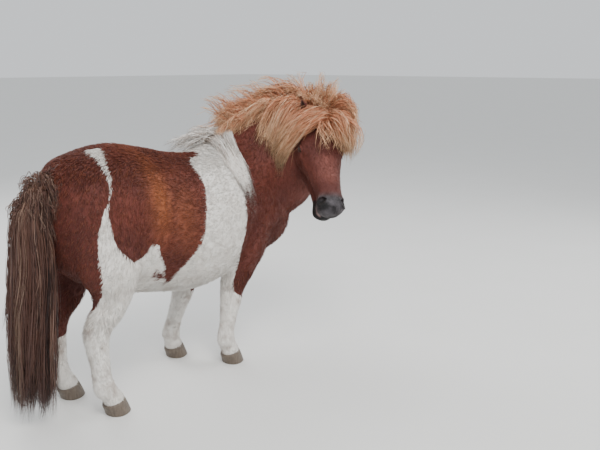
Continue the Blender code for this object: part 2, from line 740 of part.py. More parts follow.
def ear(name, hand, body):
    """A cupped ear: a thick wall rolled round an opening that faces forward and out."""
    lean = unit(head_direction(EAR_LEAN, hand))
    opening = unit(head_direction(EAR_OPENING, hand))
    opening = unit(opening - lean * (opening @ lean))
    across = np.cross(lean, opening)
    root = on_head(EAR[0], EAR[1], EAR[2] * hand) - lean * EAR_SUNK
    at = np.linspace(0, 1, 7)
    radius = EAR_WIDTH * (0.62 + 0.9 * at - 1.42 * at**2.6)
    wall = np.minimum(EAR_WALL, radius * 0.45)
    wall = np.where(at < 0.22, radius * 0.85, wall)
    arc = np.linspace(math.radians(48), math.radians(312), 7)
    rings = []
    for i, t in enumerate(at):
        centre = root + lean * (EAR_LENGTH + EAR_SUNK) * t + opening * EAR_CURL * t * t
        spokes = [opening * math.cos(a) + across * math.sin(a) for a in arc]
        inside = radius[i] - wall[i]
        outer = [centre + spoke * radius[i] for spoke in spokes]
        rings.append(outer + [centre + spoke * inside for spoke in spokes[::-1]])
    points, faces = closed(np.array(rings))
    around, last = 2 * len(arc), (len(rings) - 1) * 2 * len(arc)
    faces = faces[:-2 * around]
    for start in (0, last):
        for j in range(len(arc) - 1):
            faces.append(tuple(start + i for i in (j, j + 1, around - 2 - j, around - 1 - j)))
    shell = new_object(name, points[:-2], faces)
    boolean(shell, "DIFFERENCE", grown(body), solver="MANIFOLD")
    largest_surface(shell)
    return shell


def tail_line(count):
    """Middle line of the tail."""
    rows = np.array(TAIL_LINE)
    along = np.r_[0, np.cumsum(np.linalg.norm(np.diff(rows, axis=0), axis=1))]
    return smooth(along / along[-1], rows, np.linspace(0, 1, count))


def bend(root, lift, tip, count):
    """Points along a curve that leaves root towards lift and ends at tip."""
    t = np.linspace(0, 1, count)[:, None]
    return (1 - t) ** 2 * root + 2 * t * (1 - t) * lift + t**2 * tip


def clear_of(tree, points, by, free=1):
    """The points past the first free ones, moved off the skin by at least a distance."""
    moved = points.copy()
    for i, point in enumerate(points[free:], free):
        place, normal, _, _ = tree.find_nearest(Vector(point))
        if (point - place) @ np.array(normal) < by:
            moved[i] = np.array(place) + np.array(normal) * by
    return moved


def bend_across(root, lift, tip):
    """The direction square to the plane that a bent lock lies in."""
    return unit(np.cross(tip - lift, lift - root))


def lock(points, across, width, thick):
    """A flat, tapered lock along points: its edges lie across them and its back is ridged."""
    flat = unit(np.cross(across, np.gradient(points, axis=0)))
    t = np.linspace(0, 1, len(points))
    swell_out = 0.60 + 0.95 * t - 1.25 * t**2.5
    half, deep = width / 2 * swell_out, thick * (1 - 0.5 * t)
    out, ridge = across * half[:, None], flat * deep[:, None]
    rings = np.stack((points + out, points + ridge, points - out), 1)[:-1]
    n = len(rings)
    skin = np.concatenate([rings.reshape(-1, 3), points[-1:]])
    faces = [(0, 1, 2)]
    for i in range(n - 1):
        for j in range(3):
            a, b = i * 3 + j, i * 3 + (j + 1) % 3
            faces += [(a, b, b + 3), (a, b + 3, a + 3)]
    faces += [((n - 1) * 3 + j, (n - 1) * 3 + (j + 1) % 3, n * 3) for j in range(3)]
    return new_object("lock", skin, faces)


def join_locks(core, locks, *clear):
    """Joins the locks to their core and keeps them off what they lie on."""
    boolean(core, "UNION", *locks, solver="MANIFOLD")
    largest_surface(core)
    for other in clear:
        boolean(core, "DIFFERENCE", grown(other), solver="MANIFOLD")
    largest_surface(core)
    return core


def tail_sizes(t):
    """Half width and half depth of the tail along its line."""
    half = 0.046 + 0.046 * np.sin(np.clip(t * 1.4, 0, 1) * np.pi / 2)
    return half, half * 0.72


def tail(body):
    """A short core and tiers of locks round it, down to just over the floor."""
    random.seed(11)
    rows = np.array(TAIL_LINE)
    along = np.r_[0, np.cumsum(np.linalg.norm(np.diff(rows, axis=0), axis=1))]
    along /= along[-1]

    def frame(t):
        line = smooth(along, rows, t)
        ahead = smooth(along, rows, np.minimum(t + 0.02, 1))
        down = unit(ahead - smooth(along, rows, np.maximum(t - 0.02, 0)))
        side = unit(np.cross(np.cross(down, [0.0, 1.0, 0.0]), down)) * -1
        return line, side, unit(np.cross(side, down))

    t = np.linspace(0, 0.52, 12)
    line, side, back = frame(t)
    half, deep = tail_sizes(t)
    taper = 0.80 * np.sin(np.clip((0.56 - t) / 0.5, 0, 1) * np.pi / 2) ** 0.7
    flat = np.zeros(len(t))
    deep, half = deep * taper, half * taper
    core = new_object("tail", *closed(loft(line, back, side, deep, -deep, half, flat, flat, 12)))
    locks = []
    for start, count, reach in TAIL_TIERS:
        for k in range(count):
            angle = 2 * math.pi * (k + random.uniform(0.25, 0.75)) / count
            end = random.uniform(0.90, 1.0) if k % 3 else random.uniform(0.72, 0.9)
            u = np.linspace(0, 1, 5)
            at = start + (end - start) * u
            line, side, back = frame(at)
            half, deep = tail_sizes(at)
            out = reach * (1 - 0.06 * (k % 2)) * np.where(u < 0.01, 0.35, 1.0) * (1 - 0.12 * u)
            wave = 0.08 * np.sin(u * 5)
            turn = angle + wave
            around = side[2] * -math.sin(angle) + back[2] * math.cos(angle)
            points = line + side * (half * out * np.cos(turn))[:, None]
            points = points + back * (deep * out * np.sin(turn))[:, None]
            points[:, 2] = np.maximum(points[:, 2], FLOOR_CLEARANCE)
            locks.append(lock(points, around, TAIL_LOCK[0] * random.uniform(0.85, 1.15), TAIL_LOCK[1]))
    return join_locks(core, locks, body)


def crest_core(name, start, end, height, half, drop, count=12):
    """The low ridge that the locks of a mane grow from."""
    at = np.linspace(start, end, count)
    v, _, up, side = neck_stations(at)
    t = np.linspace(0, 1, count)
    near_start, near_end = np.clip(t * 5, 0, 1), np.clip((1 - t) * 5, 0, 1)
    ends = 0.3 + 0.7 * np.sin(near_start * np.pi / 2) * np.sin(near_end * np.pi / 2)
    centre = v[:, :3] + up * (v[:, 3] - 0.004)[:, None]
    flat = np.zeros(count)
    rings = loft(centre, up, side, height * ends, -drop * ends, half * ends, flat, flat, 10)
    return new_object(name, *closed(rings))


def mane_locks(kind, places, tree, path):
    """Locks along the crest: path gives the lift and tip, from the neck's own directions."""
    start, end, count, width, thick = places
    locks = []
    for k in range(count):
        at = start + (end - start) * (k + random.uniform(0.2, 0.8)) / count
        v, ahead, up, side = (a[0] for a in neck_stations(np.array([at])))
        crest = v[:3] + up * v[3]
        lift, tip = path(at, crest, ahead, up, side, v)
        level = LAYER * (k % 3)
        root = crest + side * kind * 0.010 + (up + side * kind) * level * 0.7
        lift = lift + (up + side * kind) * level
        if kind:
            across = bend_across(root, lift, tip)
        else:
            across = unit(ahead * 0.8 + up * 0.6 + side * random.uniform(-0.4, 0.4))
        points = clear_of(tree, bend(root, lift, tip, LOCK_POINTS), LAYER / 2 + level, 2)
        locks.append(lock(points, across, width * random.uniform(0.85, 1.15), thick))
    return locks


def withers_mane(body):
    """White mane over the withers: most falls down the right shoulder, some is blown back."""
    random.seed(5)
    core = crest_core("mane_withers", *WITHERS_CORE)
    tree = skin_tree(body)

    def falling(at, crest, ahead, up, side, v):
        reach = 0.17 + 0.10 * math.sin((at - 0.10) / 0.3 * math.pi) + random.uniform(-0.03, 0.03)
        lift = crest + up * 0.035 - side * 0.085
        return lift, crest - side * (v[5] + 0.005) - UP * reach + ahead * random.uniform(-0.01, 0.03)

    def blown(at, crest, ahead, up, side, v):
        lift = crest + up * 0.050 - ahead * 0.020
        back = ahead * random.uniform(0.09, 0.17)
        over = up * random.uniform(0.01, 0.06)
        return lift, crest + over - back + side * random.uniform(-0.02, 0.07)

    locks = mane_locks(-1, WITHERS_FALL, tree, falling) + mane_locks(1, WITHERS_BLOWN, tree, blown)
    return join_locks(core, locks, body)


def blown_back(at, least, most):
    """How far a lock of the crest is blown back: less next to the white mane."""
    return random.uniform(least, most) * min(1.0, 0.3 + (at - 0.42) * 3)


def near_poll(at):
    """Rises from 0 half way up the neck to 1 at the poll, where the hair is fullest."""
    return min(1.0, max(0.0, (at - 0.55) / 0.35))


def crest_mane(body, *others):
    """Ginger mane: raised and blown back along the crest, falling on both sides of the poll."""
    random.seed(8)
    core = crest_core("mane_crest", *CREST_CORE)
    tree = skin_tree(body)

    def raised(at, crest, ahead, up, side, v):
        high = random.uniform(0.08, 0.13) + 0.04 * near_poll(at)
        lift = crest + up * high * 0.8
        sway = side * random.uniform(-0.06, 0.06)
        return lift, crest + up * high - ahead * blown_back(at, 0.05, 0.13) + sway

    def left_fall(at, crest, ahead, up, side, v):
        lift = crest + up * (0.085 + 0.060 * near_poll(at)) + side * 0.085
        down = random.uniform(0.12, 0.19)
        return lift, crest + side * (v[5] + 0.03) - UP * down - ahead * blown_back(at, 0.0, 0.06)

    def right_fall(at, crest, ahead, up, side, v):
        lift = crest + up * (0.085 + 0.060 * near_poll(at)) - side * 0.100
        down = random.uniform(0.18, 0.25)
        return lift, crest - side * (v[5] + 0.05) - UP * down - ahead * blown_back(at, 0.05, 0.11)

    def swept(at, crest, ahead, up, side, v):
        lift = crest + up * random.uniform(0.03, 0.06) - side * 0.065
        back = ahead * blown_back(at, 0.06, 0.13)
        return lift, crest - side * 0.085 - up * random.uniform(-0.02, 0.045) - back

    locks = mane_locks(0, CREST_RAISED, tree, raised)
    locks += mane_locks(1, CREST_LEFT, tree, left_fall)
    locks += mane_locks(-1, CREST_RIGHT, tree, right_fall)
    locks += mane_locks(-1, CREST_SWEPT, tree, swept)
    return join_locks(core, locks, body, *others)


def scattered(row, share):
    """A place on the head, moved by a share of the row's spread and by chance."""
    place, spread = row
    moved = [p + d * (0.6 * share + random.uniform(-0.4, 0.4)) for p, d in zip(place, spread)]
    return on_head(*moved)


def forelock(body, *others):
    """A bushy crown, a swath over the right cheek, and locks that fall past the left eye."""
    random.seed(3)
    tree = skin_tree(body)
    core = ball("forelock", on_head(*CROWN), 1.0, CROWN_RADII, (FACE, BROW, LEFT), 6, 12)
    locks = []
    for (count, width, thick), roots, middles, tips in FORELOCK:
        for k in range(count):
            share = (k + 0.5) / count * 2 - 1
            root, middle, tip = (scattered(row, share) for row in (roots, middles, tips))
            lift = 2 * middle - (root + tip) / 2
            level = BROW * LAYER * (k % 3)
            root, lift = root + level * 0.7, lift + level
            points = clear_of(tree, bend(root, lift, tip, LOCK_POINTS), LAYER * (0.5 + k % 3), 2)
            across = bend_across(root, lift, tip)
            locks.append(lock(points, across, width * random.uniform(0.85, 1.15), thick))
    return join_locks(core, locks, body, *others)


def main():
    """Builds every piece, paints it and stands the pony over the origin."""
    for thing in list(bpy.data.objects):
        bpy.data.objects.remove(thing)
    body = flesh()
    swell(body, muscles())
    eyes = eye_centres(skin_tree(body))
    thin_out(body)
    whole = copy_of(body, "whole")
    coat = material("chestnut_coat", CHESTNUT)
    white = material("white_coat", WHITE)
    ginger = material("ginger_mane", GINGER)
    tail_hair = material("tail_hair", TAIL_BROWN)
    horn = material("horn", HORN, 0.5)
    eyeball = material("eye", EYE_BROWN, 0.1)
    pieces = {}
    for name, (stations, hand, forward, joint) in LEGS.items():
        floor = leg_floor_centre(stations, hand, forward)
        pieces[name.replace("leg", "hoof")] = (hoof(name.replace("leg", "hoof"), floor), horn)
        boolean(body, "DIFFERENCE", coronet(floor, GAP))
        largest_surface(body)
    for name, (stations, hand, forward, joint) in LEGS.items():
        floor = leg_floor_centre(stations, hand, forward)

        def lower_block(grow=0.0):
            """The block below a knee or a hock."""
            half = (joint + grow) / 2
            middle = (floor[0] - LOWER_LEG_BACK, floor[1], half - 0.05)
            return box(middle, (*LOWER_LEG_BLOCK, half + 0.05))

        pieces[name + "_lower"] = (part_off(body, name + "_lower", lower_block), white)
    for name, (stations, hand, forward, joint) in LEGS.items():
        sizes = THIGH if name.startswith("hind") else FOREARM
        word = name + "_upper"
        block = (lambda grow=0.0, a=hand, b=forward, c=sizes: upper_leg_block(a, b, c, grow))
        pieces[word] = (part_off(body, word, block), coat)
    head = part_off(body, "head", head_block)
    neck = part_off(body, "neck", neck_block)
    body.name = "torso"
    pieces["torso"] = (body, coat)
    pieces["neck"] = (neck, coat)
    carve_head(head, eyes)
    pieces["head"] = (head, coat)
    for word, (centre, out) in eyes.items():
        along = unit(FACE - out * (FACE @ out))
        ball_axes = (out, along, np.cross(out, along))
        pieces["eye_" + word] = (ball("eye_" + word, centre, EYE_RADIUS, axes=ball_axes), eyeball)
    ears = {}
    for hand, word in ((-1, "right"), (1, "left")):
        ears[word] = ear("ear_" + word, hand, whole)
        pieces["ear_" + word] = (ears[word], coat)
    pieces["forelock"] = (forelock(whole, *ears.values()), ginger)
    pieces["mane_crest"] = (crest_mane(whole, *ears.values(), pieces["forelock"][0]), ginger)
    pieces["mane_withers"] = (withers_mane(whole), white)
    boolean(pieces["mane_crest"][0], "DIFFERENCE", copy_of(pieces["forelock"][0], "fore"), solver="MANIFOLD")
    largest_surface(pieces["mane_crest"][0])
    for crest in (grown(pieces["mane_crest"][0]), copy_of(pieces["mane_crest"][0], "crest")):
        boolean(pieces["mane_withers"][0], "DIFFERENCE", crest, solver="MANIFOLD")
    largest_surface(pieces["mane_withers"][0])
    pieces["tail"] = (tail(whole), tail_hair)
    remove(whole)
    stand_over_origin(pieces)


def stand_over_origin(pieces):
    """Moves every piece so that the pony's box stands centred over the origin."""
    corners = []
    for thing, finish in pieces.values():
        thing.data.materials.clear()
        thing.data.materials.append(finish)
        points = np.empty(len(thing.data.vertices) * 3)
        thing.data.vertices.foreach_get("co", points)
        corners += [points.reshape(-1, 3).min(0), points.reshape(-1, 3).max(0)]
    low, high = np.min(corners, 0), np.max(corners, 0)
    for thing, _ in pieces.values():
        points = np.empty(len(thing.data.vertices) * 3)
        thing.data.vertices.foreach_get("co", points)
        moved = points.reshape(-1, 3) - np.array(((low[0] + high[0]) / 2, (low[1] + high[1]) / 2, low[2]))
        thing.data.vertices.foreach_set("co", moved.ravel())
        thing.data.update()


main()
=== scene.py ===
# %% [markdown]
# A Shetland pony at life size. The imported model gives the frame: one fixed box and one
# solid for each part of the body. Everything below dresses that frame and never moves it.
# %% Load the frame
import math

import bmesh
import bpy
import numpy as np
from mathutils import Matrix, Vector
from mathutils.bvhtree import BVHTree


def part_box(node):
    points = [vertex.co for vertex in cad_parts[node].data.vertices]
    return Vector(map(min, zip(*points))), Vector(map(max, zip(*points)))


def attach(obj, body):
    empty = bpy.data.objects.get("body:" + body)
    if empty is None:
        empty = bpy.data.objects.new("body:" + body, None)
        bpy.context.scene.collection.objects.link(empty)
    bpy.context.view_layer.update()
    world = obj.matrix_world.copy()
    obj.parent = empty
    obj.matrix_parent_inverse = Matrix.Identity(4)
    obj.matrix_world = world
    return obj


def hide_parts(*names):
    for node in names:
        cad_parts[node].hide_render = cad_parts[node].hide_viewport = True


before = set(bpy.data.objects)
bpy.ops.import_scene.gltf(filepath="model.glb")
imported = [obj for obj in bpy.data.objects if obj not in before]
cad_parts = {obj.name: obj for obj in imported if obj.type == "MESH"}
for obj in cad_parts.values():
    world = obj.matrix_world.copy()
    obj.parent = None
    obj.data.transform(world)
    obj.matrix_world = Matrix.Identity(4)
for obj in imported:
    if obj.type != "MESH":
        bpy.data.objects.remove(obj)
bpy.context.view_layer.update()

# %% [markdown]
# The sizes below are worked out about the pony's own middle line, while the frame stands
# with its box centred over the origin. One hoof that both share gives the shift between them.
# %% Where the pony's own axes lie in the frame
HIND_FOOT = np.array((-0.370, -0.116, 0.0))
TOE_REACH = 0.052
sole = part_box("hind_hoof_right")
SHIFT = np.array((sole[1].x - TOE_REACH, (sole[0].y + sole[1].y) / 2, 0.0)) - HIND_FOOT
print("shift", SHIFT.round(4))

# %% [markdown]
# The camera stands where the photographer stood: behind the pony's right hip, about at the
# height of its back. It is made first, because the markings are laid out from the same place.
# %% Camera at the photo's viewing angle
def stand(thing, place, direction):
    """Puts an object in the scene at a place, its -Z turned along a direction."""
    thing.location = place
    thing.rotation_mode = "QUATERNION"
    thing.rotation_quaternion = Vector(direction).to_track_quat("-Z", "Y")
    bpy.context.scene.collection.objects.link(thing)


EYE_LEVEL = 1.20
STAND_OFF = 2.60
BEHIND = math.radians(-38)
PAN = math.radians(41)
TILT = math.radians(13.3)
FOCAL = 680.0
PHOTO_SIZE = (600, 450)
SENSOR = 36.0

STATION = np.array((math.sin(BEHIND) * STAND_OFF, -math.cos(BEHIND) * STAND_OFF, EYE_LEVEL))
AHEAD = np.array((math.cos(TILT) * math.cos(PAN), math.cos(TILT) * math.sin(PAN), -math.sin(TILT)))
RIGHT = np.array((math.sin(PAN), -math.cos(PAN), 0.0))
ABOVE = np.cross(RIGHT, AHEAD)

camera = bpy.data.objects.new("camera", bpy.data.cameras.new("camera"))
camera.data.sensor_width = SENSOR
camera.data.lens = FOCAL / PHOTO_SIZE[0] * SENSOR
stand(camera, STATION + SHIFT, AHEAD)
bpy.context.scene.camera = camera
print("camera", camera.location, "lens", round(camera.data.lens, 1))

# %% [markdown]
# A museum model stands in even light, so a wide soft lamp hangs over each side and the world
# fills the rest. A lamp has a place, a point that it is turned to, a width, a power and a colour.
# The floor is one pale sheet that isn't part of the pony.
# %% Floor and soft studio light
LAMPS = {
    "key": ((-1.2, -2.4, 3.6), (0, 0, 0.6), 1.8, 150, (1.0, 0.97, 0.93)),
    "fill": ((3.0, -1.8, 2.2), (0, 0, 0.6), 2.6, 45, (1.0, 1.0, 1.0)),
    "rim": ((0.4, 3.2, 3.2), (0, 0, 0.7), 2.2, 90, (1.0, 1.0, 1.0)),
}
SKY_COLOUR, SKY_STRENGTH = (0.90, 0.93, 0.96, 1), 0.95
FLOOR_HALF = 60.0
FLOOR_COLOURS = (0.74, 0.74, 0.72), (0.77, 0.77, 0.76)

for name, (place, aim, width, power, colour) in LAMPS.items():
    lamp = bpy.data.objects.new(name, bpy.data.lights.new(name, "AREA"))
    lamp.data.size = width
    lamp.data.energy = power
    lamp.data.color = colour
    stand(lamp, place, Vector(aim) - Vector(place))
world = bpy.data.worlds.new("studio")
world.use_nodes = True
sky = world.node_tree.nodes["Background"].inputs
sky["Color"].default_value = SKY_COLOUR
sky["Strength"].default_value = SKY_STRENGTH
bpy.context.scene.world = world

floor_mesh = bpy.data.meshes.new("floor")
corners = [(x * FLOOR_HALF, y * FLOOR_HALF, 0) for x, y in ((-1, -1), (1, -1), (1, 1), (-1, 1))]
floor_mesh.from_pydata(corners, [], [(0, 1, 2, 3)])
floor = bpy.data.objects.new("floor", floor_mesh)
bpy.context.scene.collection.objects.link(floor)
print("lamps", list(LAMPS), "and a floor")

# %% [markdown]
# Materials are written as sums. One small class wraps a socket, so that an expression in
# Python adds the Math nodes, and one method makes any other node.
# %% Sockets that can be added and multiplied
class Socket:
    """An output socket that takes part in Python's arithmetic."""

    def __init__(self, finish, output):
        self.finish, self.output = finish, output

    def math(self, operation, *others):
        """One Math node with this socket first."""
        return self.finish.node("ShaderNodeMath", {"operation": operation}, dict(enumerate((self, *others))))

    def __add__(self, other):
        return self.math("ADD", other)

    def __mul__(self, other):
        return self.math("MULTIPLY", other)

    def __sub__(self, other):
        return self.math("SUBTRACT", other)

    def __rsub__(self, other):
        return self.finish.node("ShaderNodeMath", {"operation": "SUBTRACT"}, {0: other, 1: self})

    __radd__ = __add__
    __rmul__ = __mul__

    def clamp(self):
        """The value kept between 0 and 1."""
        return self.finish.node("ShaderNodeClamp", {}, {0: self})

    def ramp(self, low, high):
        """Rises smoothly from 0 at low to 1 at high."""
        settings = {"interpolation_type": "SMOOTHSTEP"}
        return self.finish.node("ShaderNodeMapRange", settings, {0: self, 1: low, 2: high})


class Finish:
    """A material, built by expressions, with one Principled shader."""

    def __init__(self, name, **fixed):
        self.material = bpy.data.materials.new(name)
        self.material.use_nodes = True
        self.tree = self.material.node_tree
        self.shader = self.tree.nodes["Principled BSDF"]
        for socket, value in fixed.items():
            self.shader.inputs[socket.replace("_", " ")].default_value = value

    def put(self, socket, value):
        """Sets or links one input."""
        if isinstance(value, Socket):
            self.tree.links.new(value.output, socket)
        elif isinstance(value, tuple) and len(socket.default_value) == 4:
            socket.default_value = (*value, 1.0)
        else:
            socket.default_value = value

    def node(self, kind, settings, links, output=0):
        """Makes a node of a kind, sets it, then feeds its inputs."""
        made = self.tree.nodes.new(kind)
        for key, value in settings.items():
            setattr(made, key, value)
        for key, value in links.items():
            self.put(made.inputs[key], value)
        return Socket(self, made.outputs[output])

    def attribute(self, name, part="Fac"):
        """A value that the mesh carries."""
        made = self.tree.nodes.new("ShaderNodeAttribute")
        made.attribute_name = name
        return Socket(self, made.outputs[part])

    def mix(self, factor, first, second):
        """A colour between two colours."""
        return self.node("ShaderNodeMix", {"data_type": "RGBA"}, {0: factor, 6: first, 7: second}, 2)

    def noise(self, scale, detail=2.0, stretch=(1, 1, 1)):
        """Cloudy noise in the object's own coordinates, 0 to 1."""
        place = self.node("ShaderNodeTexCoord", {}, {}, "Object")
        sized = self.node("ShaderNodeVectorMath", {"operation": "MULTIPLY"}, {0: place, 1: stretch})
        return self.node("ShaderNodeTexNoise", {}, {"Vector": sized, "Scale": scale, "Detail": detail})

    def bump(self, height, distance):
        """Feeds a bump of that height to the shader."""
        bumped = self.node("ShaderNodeBump", {}, {"Height": height, "Distance": distance})
        self.feed("Normal", bumped)

    def feed(self, name, value):
        """Links a value to the shader."""
        self.tree.links.new(value.output, self.shader.inputs[name])


def patches(noise, gain, less):
    """Noise made into patches: gain times the noise, minus less, kept between 0 and 1."""
    return (noise * gain - less).clamp()


paper = Finish("pale_floor", Roughness=0.9)
paper.feed("Base Color", paper.mix(paper.noise(3.0), *FLOOR_COLOURS))
floor.data.materials.append(paper.material)

# %% [markdown]
# A pony's body is a few long round forms that run into one another: the trunk, the neck, the
# skull, the jaw and the legs. Each is a loft, rings of ovals set along a middle line. The
# stations are the same as those the solids were made from, so that the skin fits the frame.
# A row of the trunk is its place x, the heights of its top and bottom, its half width, and how
# full its upper and lower corners are. A row of the neck is a place, the reach up and down from
# it, and again half width and corners. A row of a leg is x, height and distance from the pony's
# middle, then the reach ahead and back and the half width. Each leg has its rows, its side, and
# how far its foot is set forward; the leg swings to there from its elbow or stifle down.
# %% Stations of the body
TRUNK = (
    (-0.515, 0.770, 0.650, 0.050, 0.00, 0.00),
    (-0.495, 0.830, 0.560, 0.115, 0.00, 0.00),
    (-0.450, 0.880, 0.500, 0.170, 0.05, 0.00),
    (-0.360, 0.915, 0.440, 0.208, 0.08, 0.00),
    (-0.260, 0.930, 0.400, 0.224, 0.06, 0.00),
    (-0.140, 0.908, 0.370, 0.230, 0.02, 0.00),
    (0.000, 0.875, 0.345, 0.246, 0.00, 0.04),
    (0.120, 0.872, 0.350, 0.240, -0.03, 0.04),
    (0.230, 0.908, 0.375, 0.210, -0.10, 0.02),
    (0.310, 0.915, 0.400, 0.190, -0.12, 0.00),
    (0.390, 0.890, 0.402, 0.182, -0.08, 0.00),
    (0.470, 0.830, 0.418, 0.166, 0.00, 0.04),
    (0.540, 0.760, 0.465, 0.128, 0.00, 0.02),
    (0.575, 0.700, 0.550, 0.060, 0.00, 0.00),
)
NECK = (
    (0.180, 0.000, 0.690, 0.190, 0.160, 0.120, -0.10, 0.0),
    (0.280, 0.000, 0.720, 0.200, 0.240, 0.160, -0.12, 0.0),
    (0.370, -0.010, 0.762, 0.188, 0.260, 0.160, -0.12, 0.0),
    (0.455, -0.055, 0.820, 0.172, 0.264, 0.142, -0.12, 0.0),
    (0.520, -0.125, 0.875, 0.158, 0.234, 0.118, -0.10, 0.0),
    (0.550, -0.200, 0.915, 0.130, 0.170, 0.098, -0.05, 0.0),
    (0.552, -0.270, 0.935, 0.085, 0.115, 0.074, 0.00, 0.0),
)
HIND_LEG = (
    (-0.335, 0.720, 0.105, 0.140, 0.145, 0.080),
    (-0.340, 0.600, 0.118, 0.118, 0.145, 0.090),
    (-0.345, 0.510, 0.128, 0.080, 0.125, 0.082),
    (-0.355, 0.440, 0.128, 0.062, 0.090, 0.064),
    (-0.378, 0.385, 0.122, 0.052, 0.062, 0.048),
    (-0.410, 0.345, 0.118, 0.045, 0.053, 0.043),
    (-0.428, 0.305, 0.116, 0.043, 0.050, 0.042),
    (-0.432, 0.260, 0.116, 0.040, 0.042, 0.037),
    (-0.428, 0.200, 0.116, 0.036, 0.036, 0.033),
    (-0.424, 0.140, 0.116, 0.034, 0.037, 0.032),
    (-0.416, 0.108, 0.116, 0.036, 0.043, 0.035),
    (-0.400, 0.078, 0.116, 0.033, 0.036, 0.033),
    (-0.390, 0.055, 0.116, 0.038, 0.037, 0.038),
    (-0.384, 0.030, 0.116, 0.036, 0.033, 0.036),
)
FORE_LEG = (
    (0.265, 0.660, 0.100, 0.130, 0.115, 0.075),
    (0.268, 0.560, 0.118, 0.126, 0.115, 0.084),
    (0.268, 0.480, 0.123, 0.108, 0.102, 0.082),
    (0.260, 0.410, 0.120, 0.082, 0.080, 0.064),
    (0.250, 0.340, 0.115, 0.056, 0.056, 0.049),
    (0.246, 0.300, 0.112, 0.047, 0.047, 0.044),
    (0.245, 0.265, 0.112, 0.046, 0.044, 0.044),
    (0.243, 0.230, 0.112, 0.040, 0.040, 0.038),
    (0.241, 0.180, 0.112, 0.035, 0.035, 0.032),
    (0.241, 0.135, 0.112, 0.033, 0.037, 0.032),
    (0.245, 0.105, 0.112, 0.036, 0.042, 0.035),
    (0.259, 0.078, 0.112, 0.033, 0.036, 0.033),
    (0.269, 0.055, 0.112, 0.038, 0.037, 0.038),
    (0.274, 0.030, 0.112, 0.036, 0.033, 0.036),
)
LEGS = {
    "hind_leg_right": (HIND_LEG, -1, 0.010),
    "hind_leg_left": (HIND_LEG, 1, -0.030),
    "fore_leg_right": (FORE_LEG, -1, -0.085),
    "fore_leg_left": (FORE_LEG, 1, -0.200),
}
SWING_HEIGHT, SWING_END = 0.55, 0.06

# %% [markdown]
# The head is turned back over the right shoulder, so it has axes of its own: along the face,
# out of the brow, and to its left. Its rows are those of the trunk, along the face.
# %% Stations and axes of the head
SKULL = (
    (-0.030, -0.040, -0.125, 0.042, 0.00, 0.00),
    (0.000, -0.014, -0.155, 0.062, 0.05, 0.00),
    (0.050, 0.006, -0.190, 0.080, 0.12, 0.00),
    (0.100, 0.012, -0.200, 0.090, 0.16, -0.10),
    (0.145, 0.008, -0.185, 0.090, 0.16, -0.10),
    (0.190, 0.002, -0.160, 0.079, 0.14, -0.10),
    (0.240, -0.002, -0.130, 0.066, 0.14, -0.05),
    (0.300, -0.002, -0.102, 0.053, 0.16, 0.05),
    (0.345, 0.000, -0.090, 0.050, 0.16, 0.10),
    (0.385, -0.002, -0.088, 0.055, 0.14, 0.10),
    (0.415, -0.014, -0.084, 0.048, 0.10, 0.05),
    (0.432, -0.030, -0.070, 0.026, 0.00, 0.00),
)
JAW = (
    (0.020, -0.090, -0.190, 0.048, 0.00, 0.00),
    (0.055, -0.080, -0.220, 0.064, 0.00, 0.00),
    (0.100, -0.070, -0.232, 0.068, 0.00, 0.00),
    (0.150, -0.070, -0.220, 0.065, 0.00, 0.00),
    (0.200, -0.070, -0.192, 0.056, 0.00, 0.00),
    (0.250, -0.080, -0.164, 0.046, 0.00, 0.00),
    (0.300, -0.090, -0.146, 0.039, 0.00, 0.00),
    (0.340, -0.096, -0.140, 0.037, 0.00, 0.00),
    (0.375, -0.098, -0.146, 0.041, 0.05, 0.05),
    (0.400, -0.098, -0.138, 0.036, 0.00, 0.00),
    (0.413, -0.104, -0.126, 0.018, 0.00, 0.00),
)
POLL = np.array((0.560, -0.285, 0.990))
HEAD_TURN, HEAD_PITCH, HEAD_ROLL = math.radians(-118), math.radians(50), math.radians(-9)


def head_axes():
    """Face and brow from the turn and the pitch, then both rolled about the head's heading."""
    ahead = np.array([math.cos(HEAD_TURN), math.sin(HEAD_TURN), 0.0])
    up = np.array([0.0, 0.0, 1.0])
    pair = (ahead * math.cos(HEAD_PITCH) - up * math.sin(HEAD_PITCH),
            ahead * math.sin(HEAD_PITCH) + up * math.cos(HEAD_PITCH))
    c, s = math.cos(HEAD_ROLL), math.sin(HEAD_ROLL)
    face, brow = (v * c + np.cross(ahead, v) * s + ahead * (ahead @ v) * (1 - c) for v in pair)
    return face, brow, np.cross(brow, face)


FACE, BROW, LEFT = head_axes()


def on_head(along, over, left=0.0):
    """Places from distances along the face, over the poll and to the left."""
    sizes = [np.asarray(n, float)[..., None] for n in (along, over, left)]
    return POLL + sizes[0] * FACE + sizes[1] * BROW + sizes[2] * LEFT


def head_local(points):
    """Distances along the face, over the poll and to the left of places."""
    away = points - POLL
    return away @ FACE, away @ BROW, away @ LEFT


# %% [markdown]
# Between stations the sizes follow a smooth cubic. A ring is an oval whose corners can be
# filled out, as a horse's barrel is squarer than an ellipse.
# %% Lofts as arrays
def unit(vectors):
    """Vectors divided by their lengths."""
    vectors = np.asarray(vectors, float)
    return vectors / np.linalg.norm(vectors, axis=-1, keepdims=True)


def smooth(keys, rows, at):
    """Cubic Hermite curve through rows at keys, its slopes taken by central differences."""
    keys, rows = np.asarray(keys, float), np.asarray(rows, float)
    slope = np.gradient(rows, keys, axis=0)
    i = np.clip(np.searchsorted(keys, at, side="right") - 1, 0, len(keys) - 2)
    step = (keys[i + 1] - keys[i])[:, None]
    u = (at - keys[i])[:, None] / step
    start = (2 * u**3 - 3 * u**2 + 1) * rows[i] + (u**3 - 2 * u**2 + u) * slope[i] * step
    return start + (3 * u**2 - 2 * u**3) * rows[i + 1] + (u**3 - u**2) * slope[i + 1] * step


def arc_length(line):
    """Distance along a line of points, from its start."""
    return np.r_[0, np.cumsum(np.linalg.norm(np.diff(line, axis=0), axis=1))]


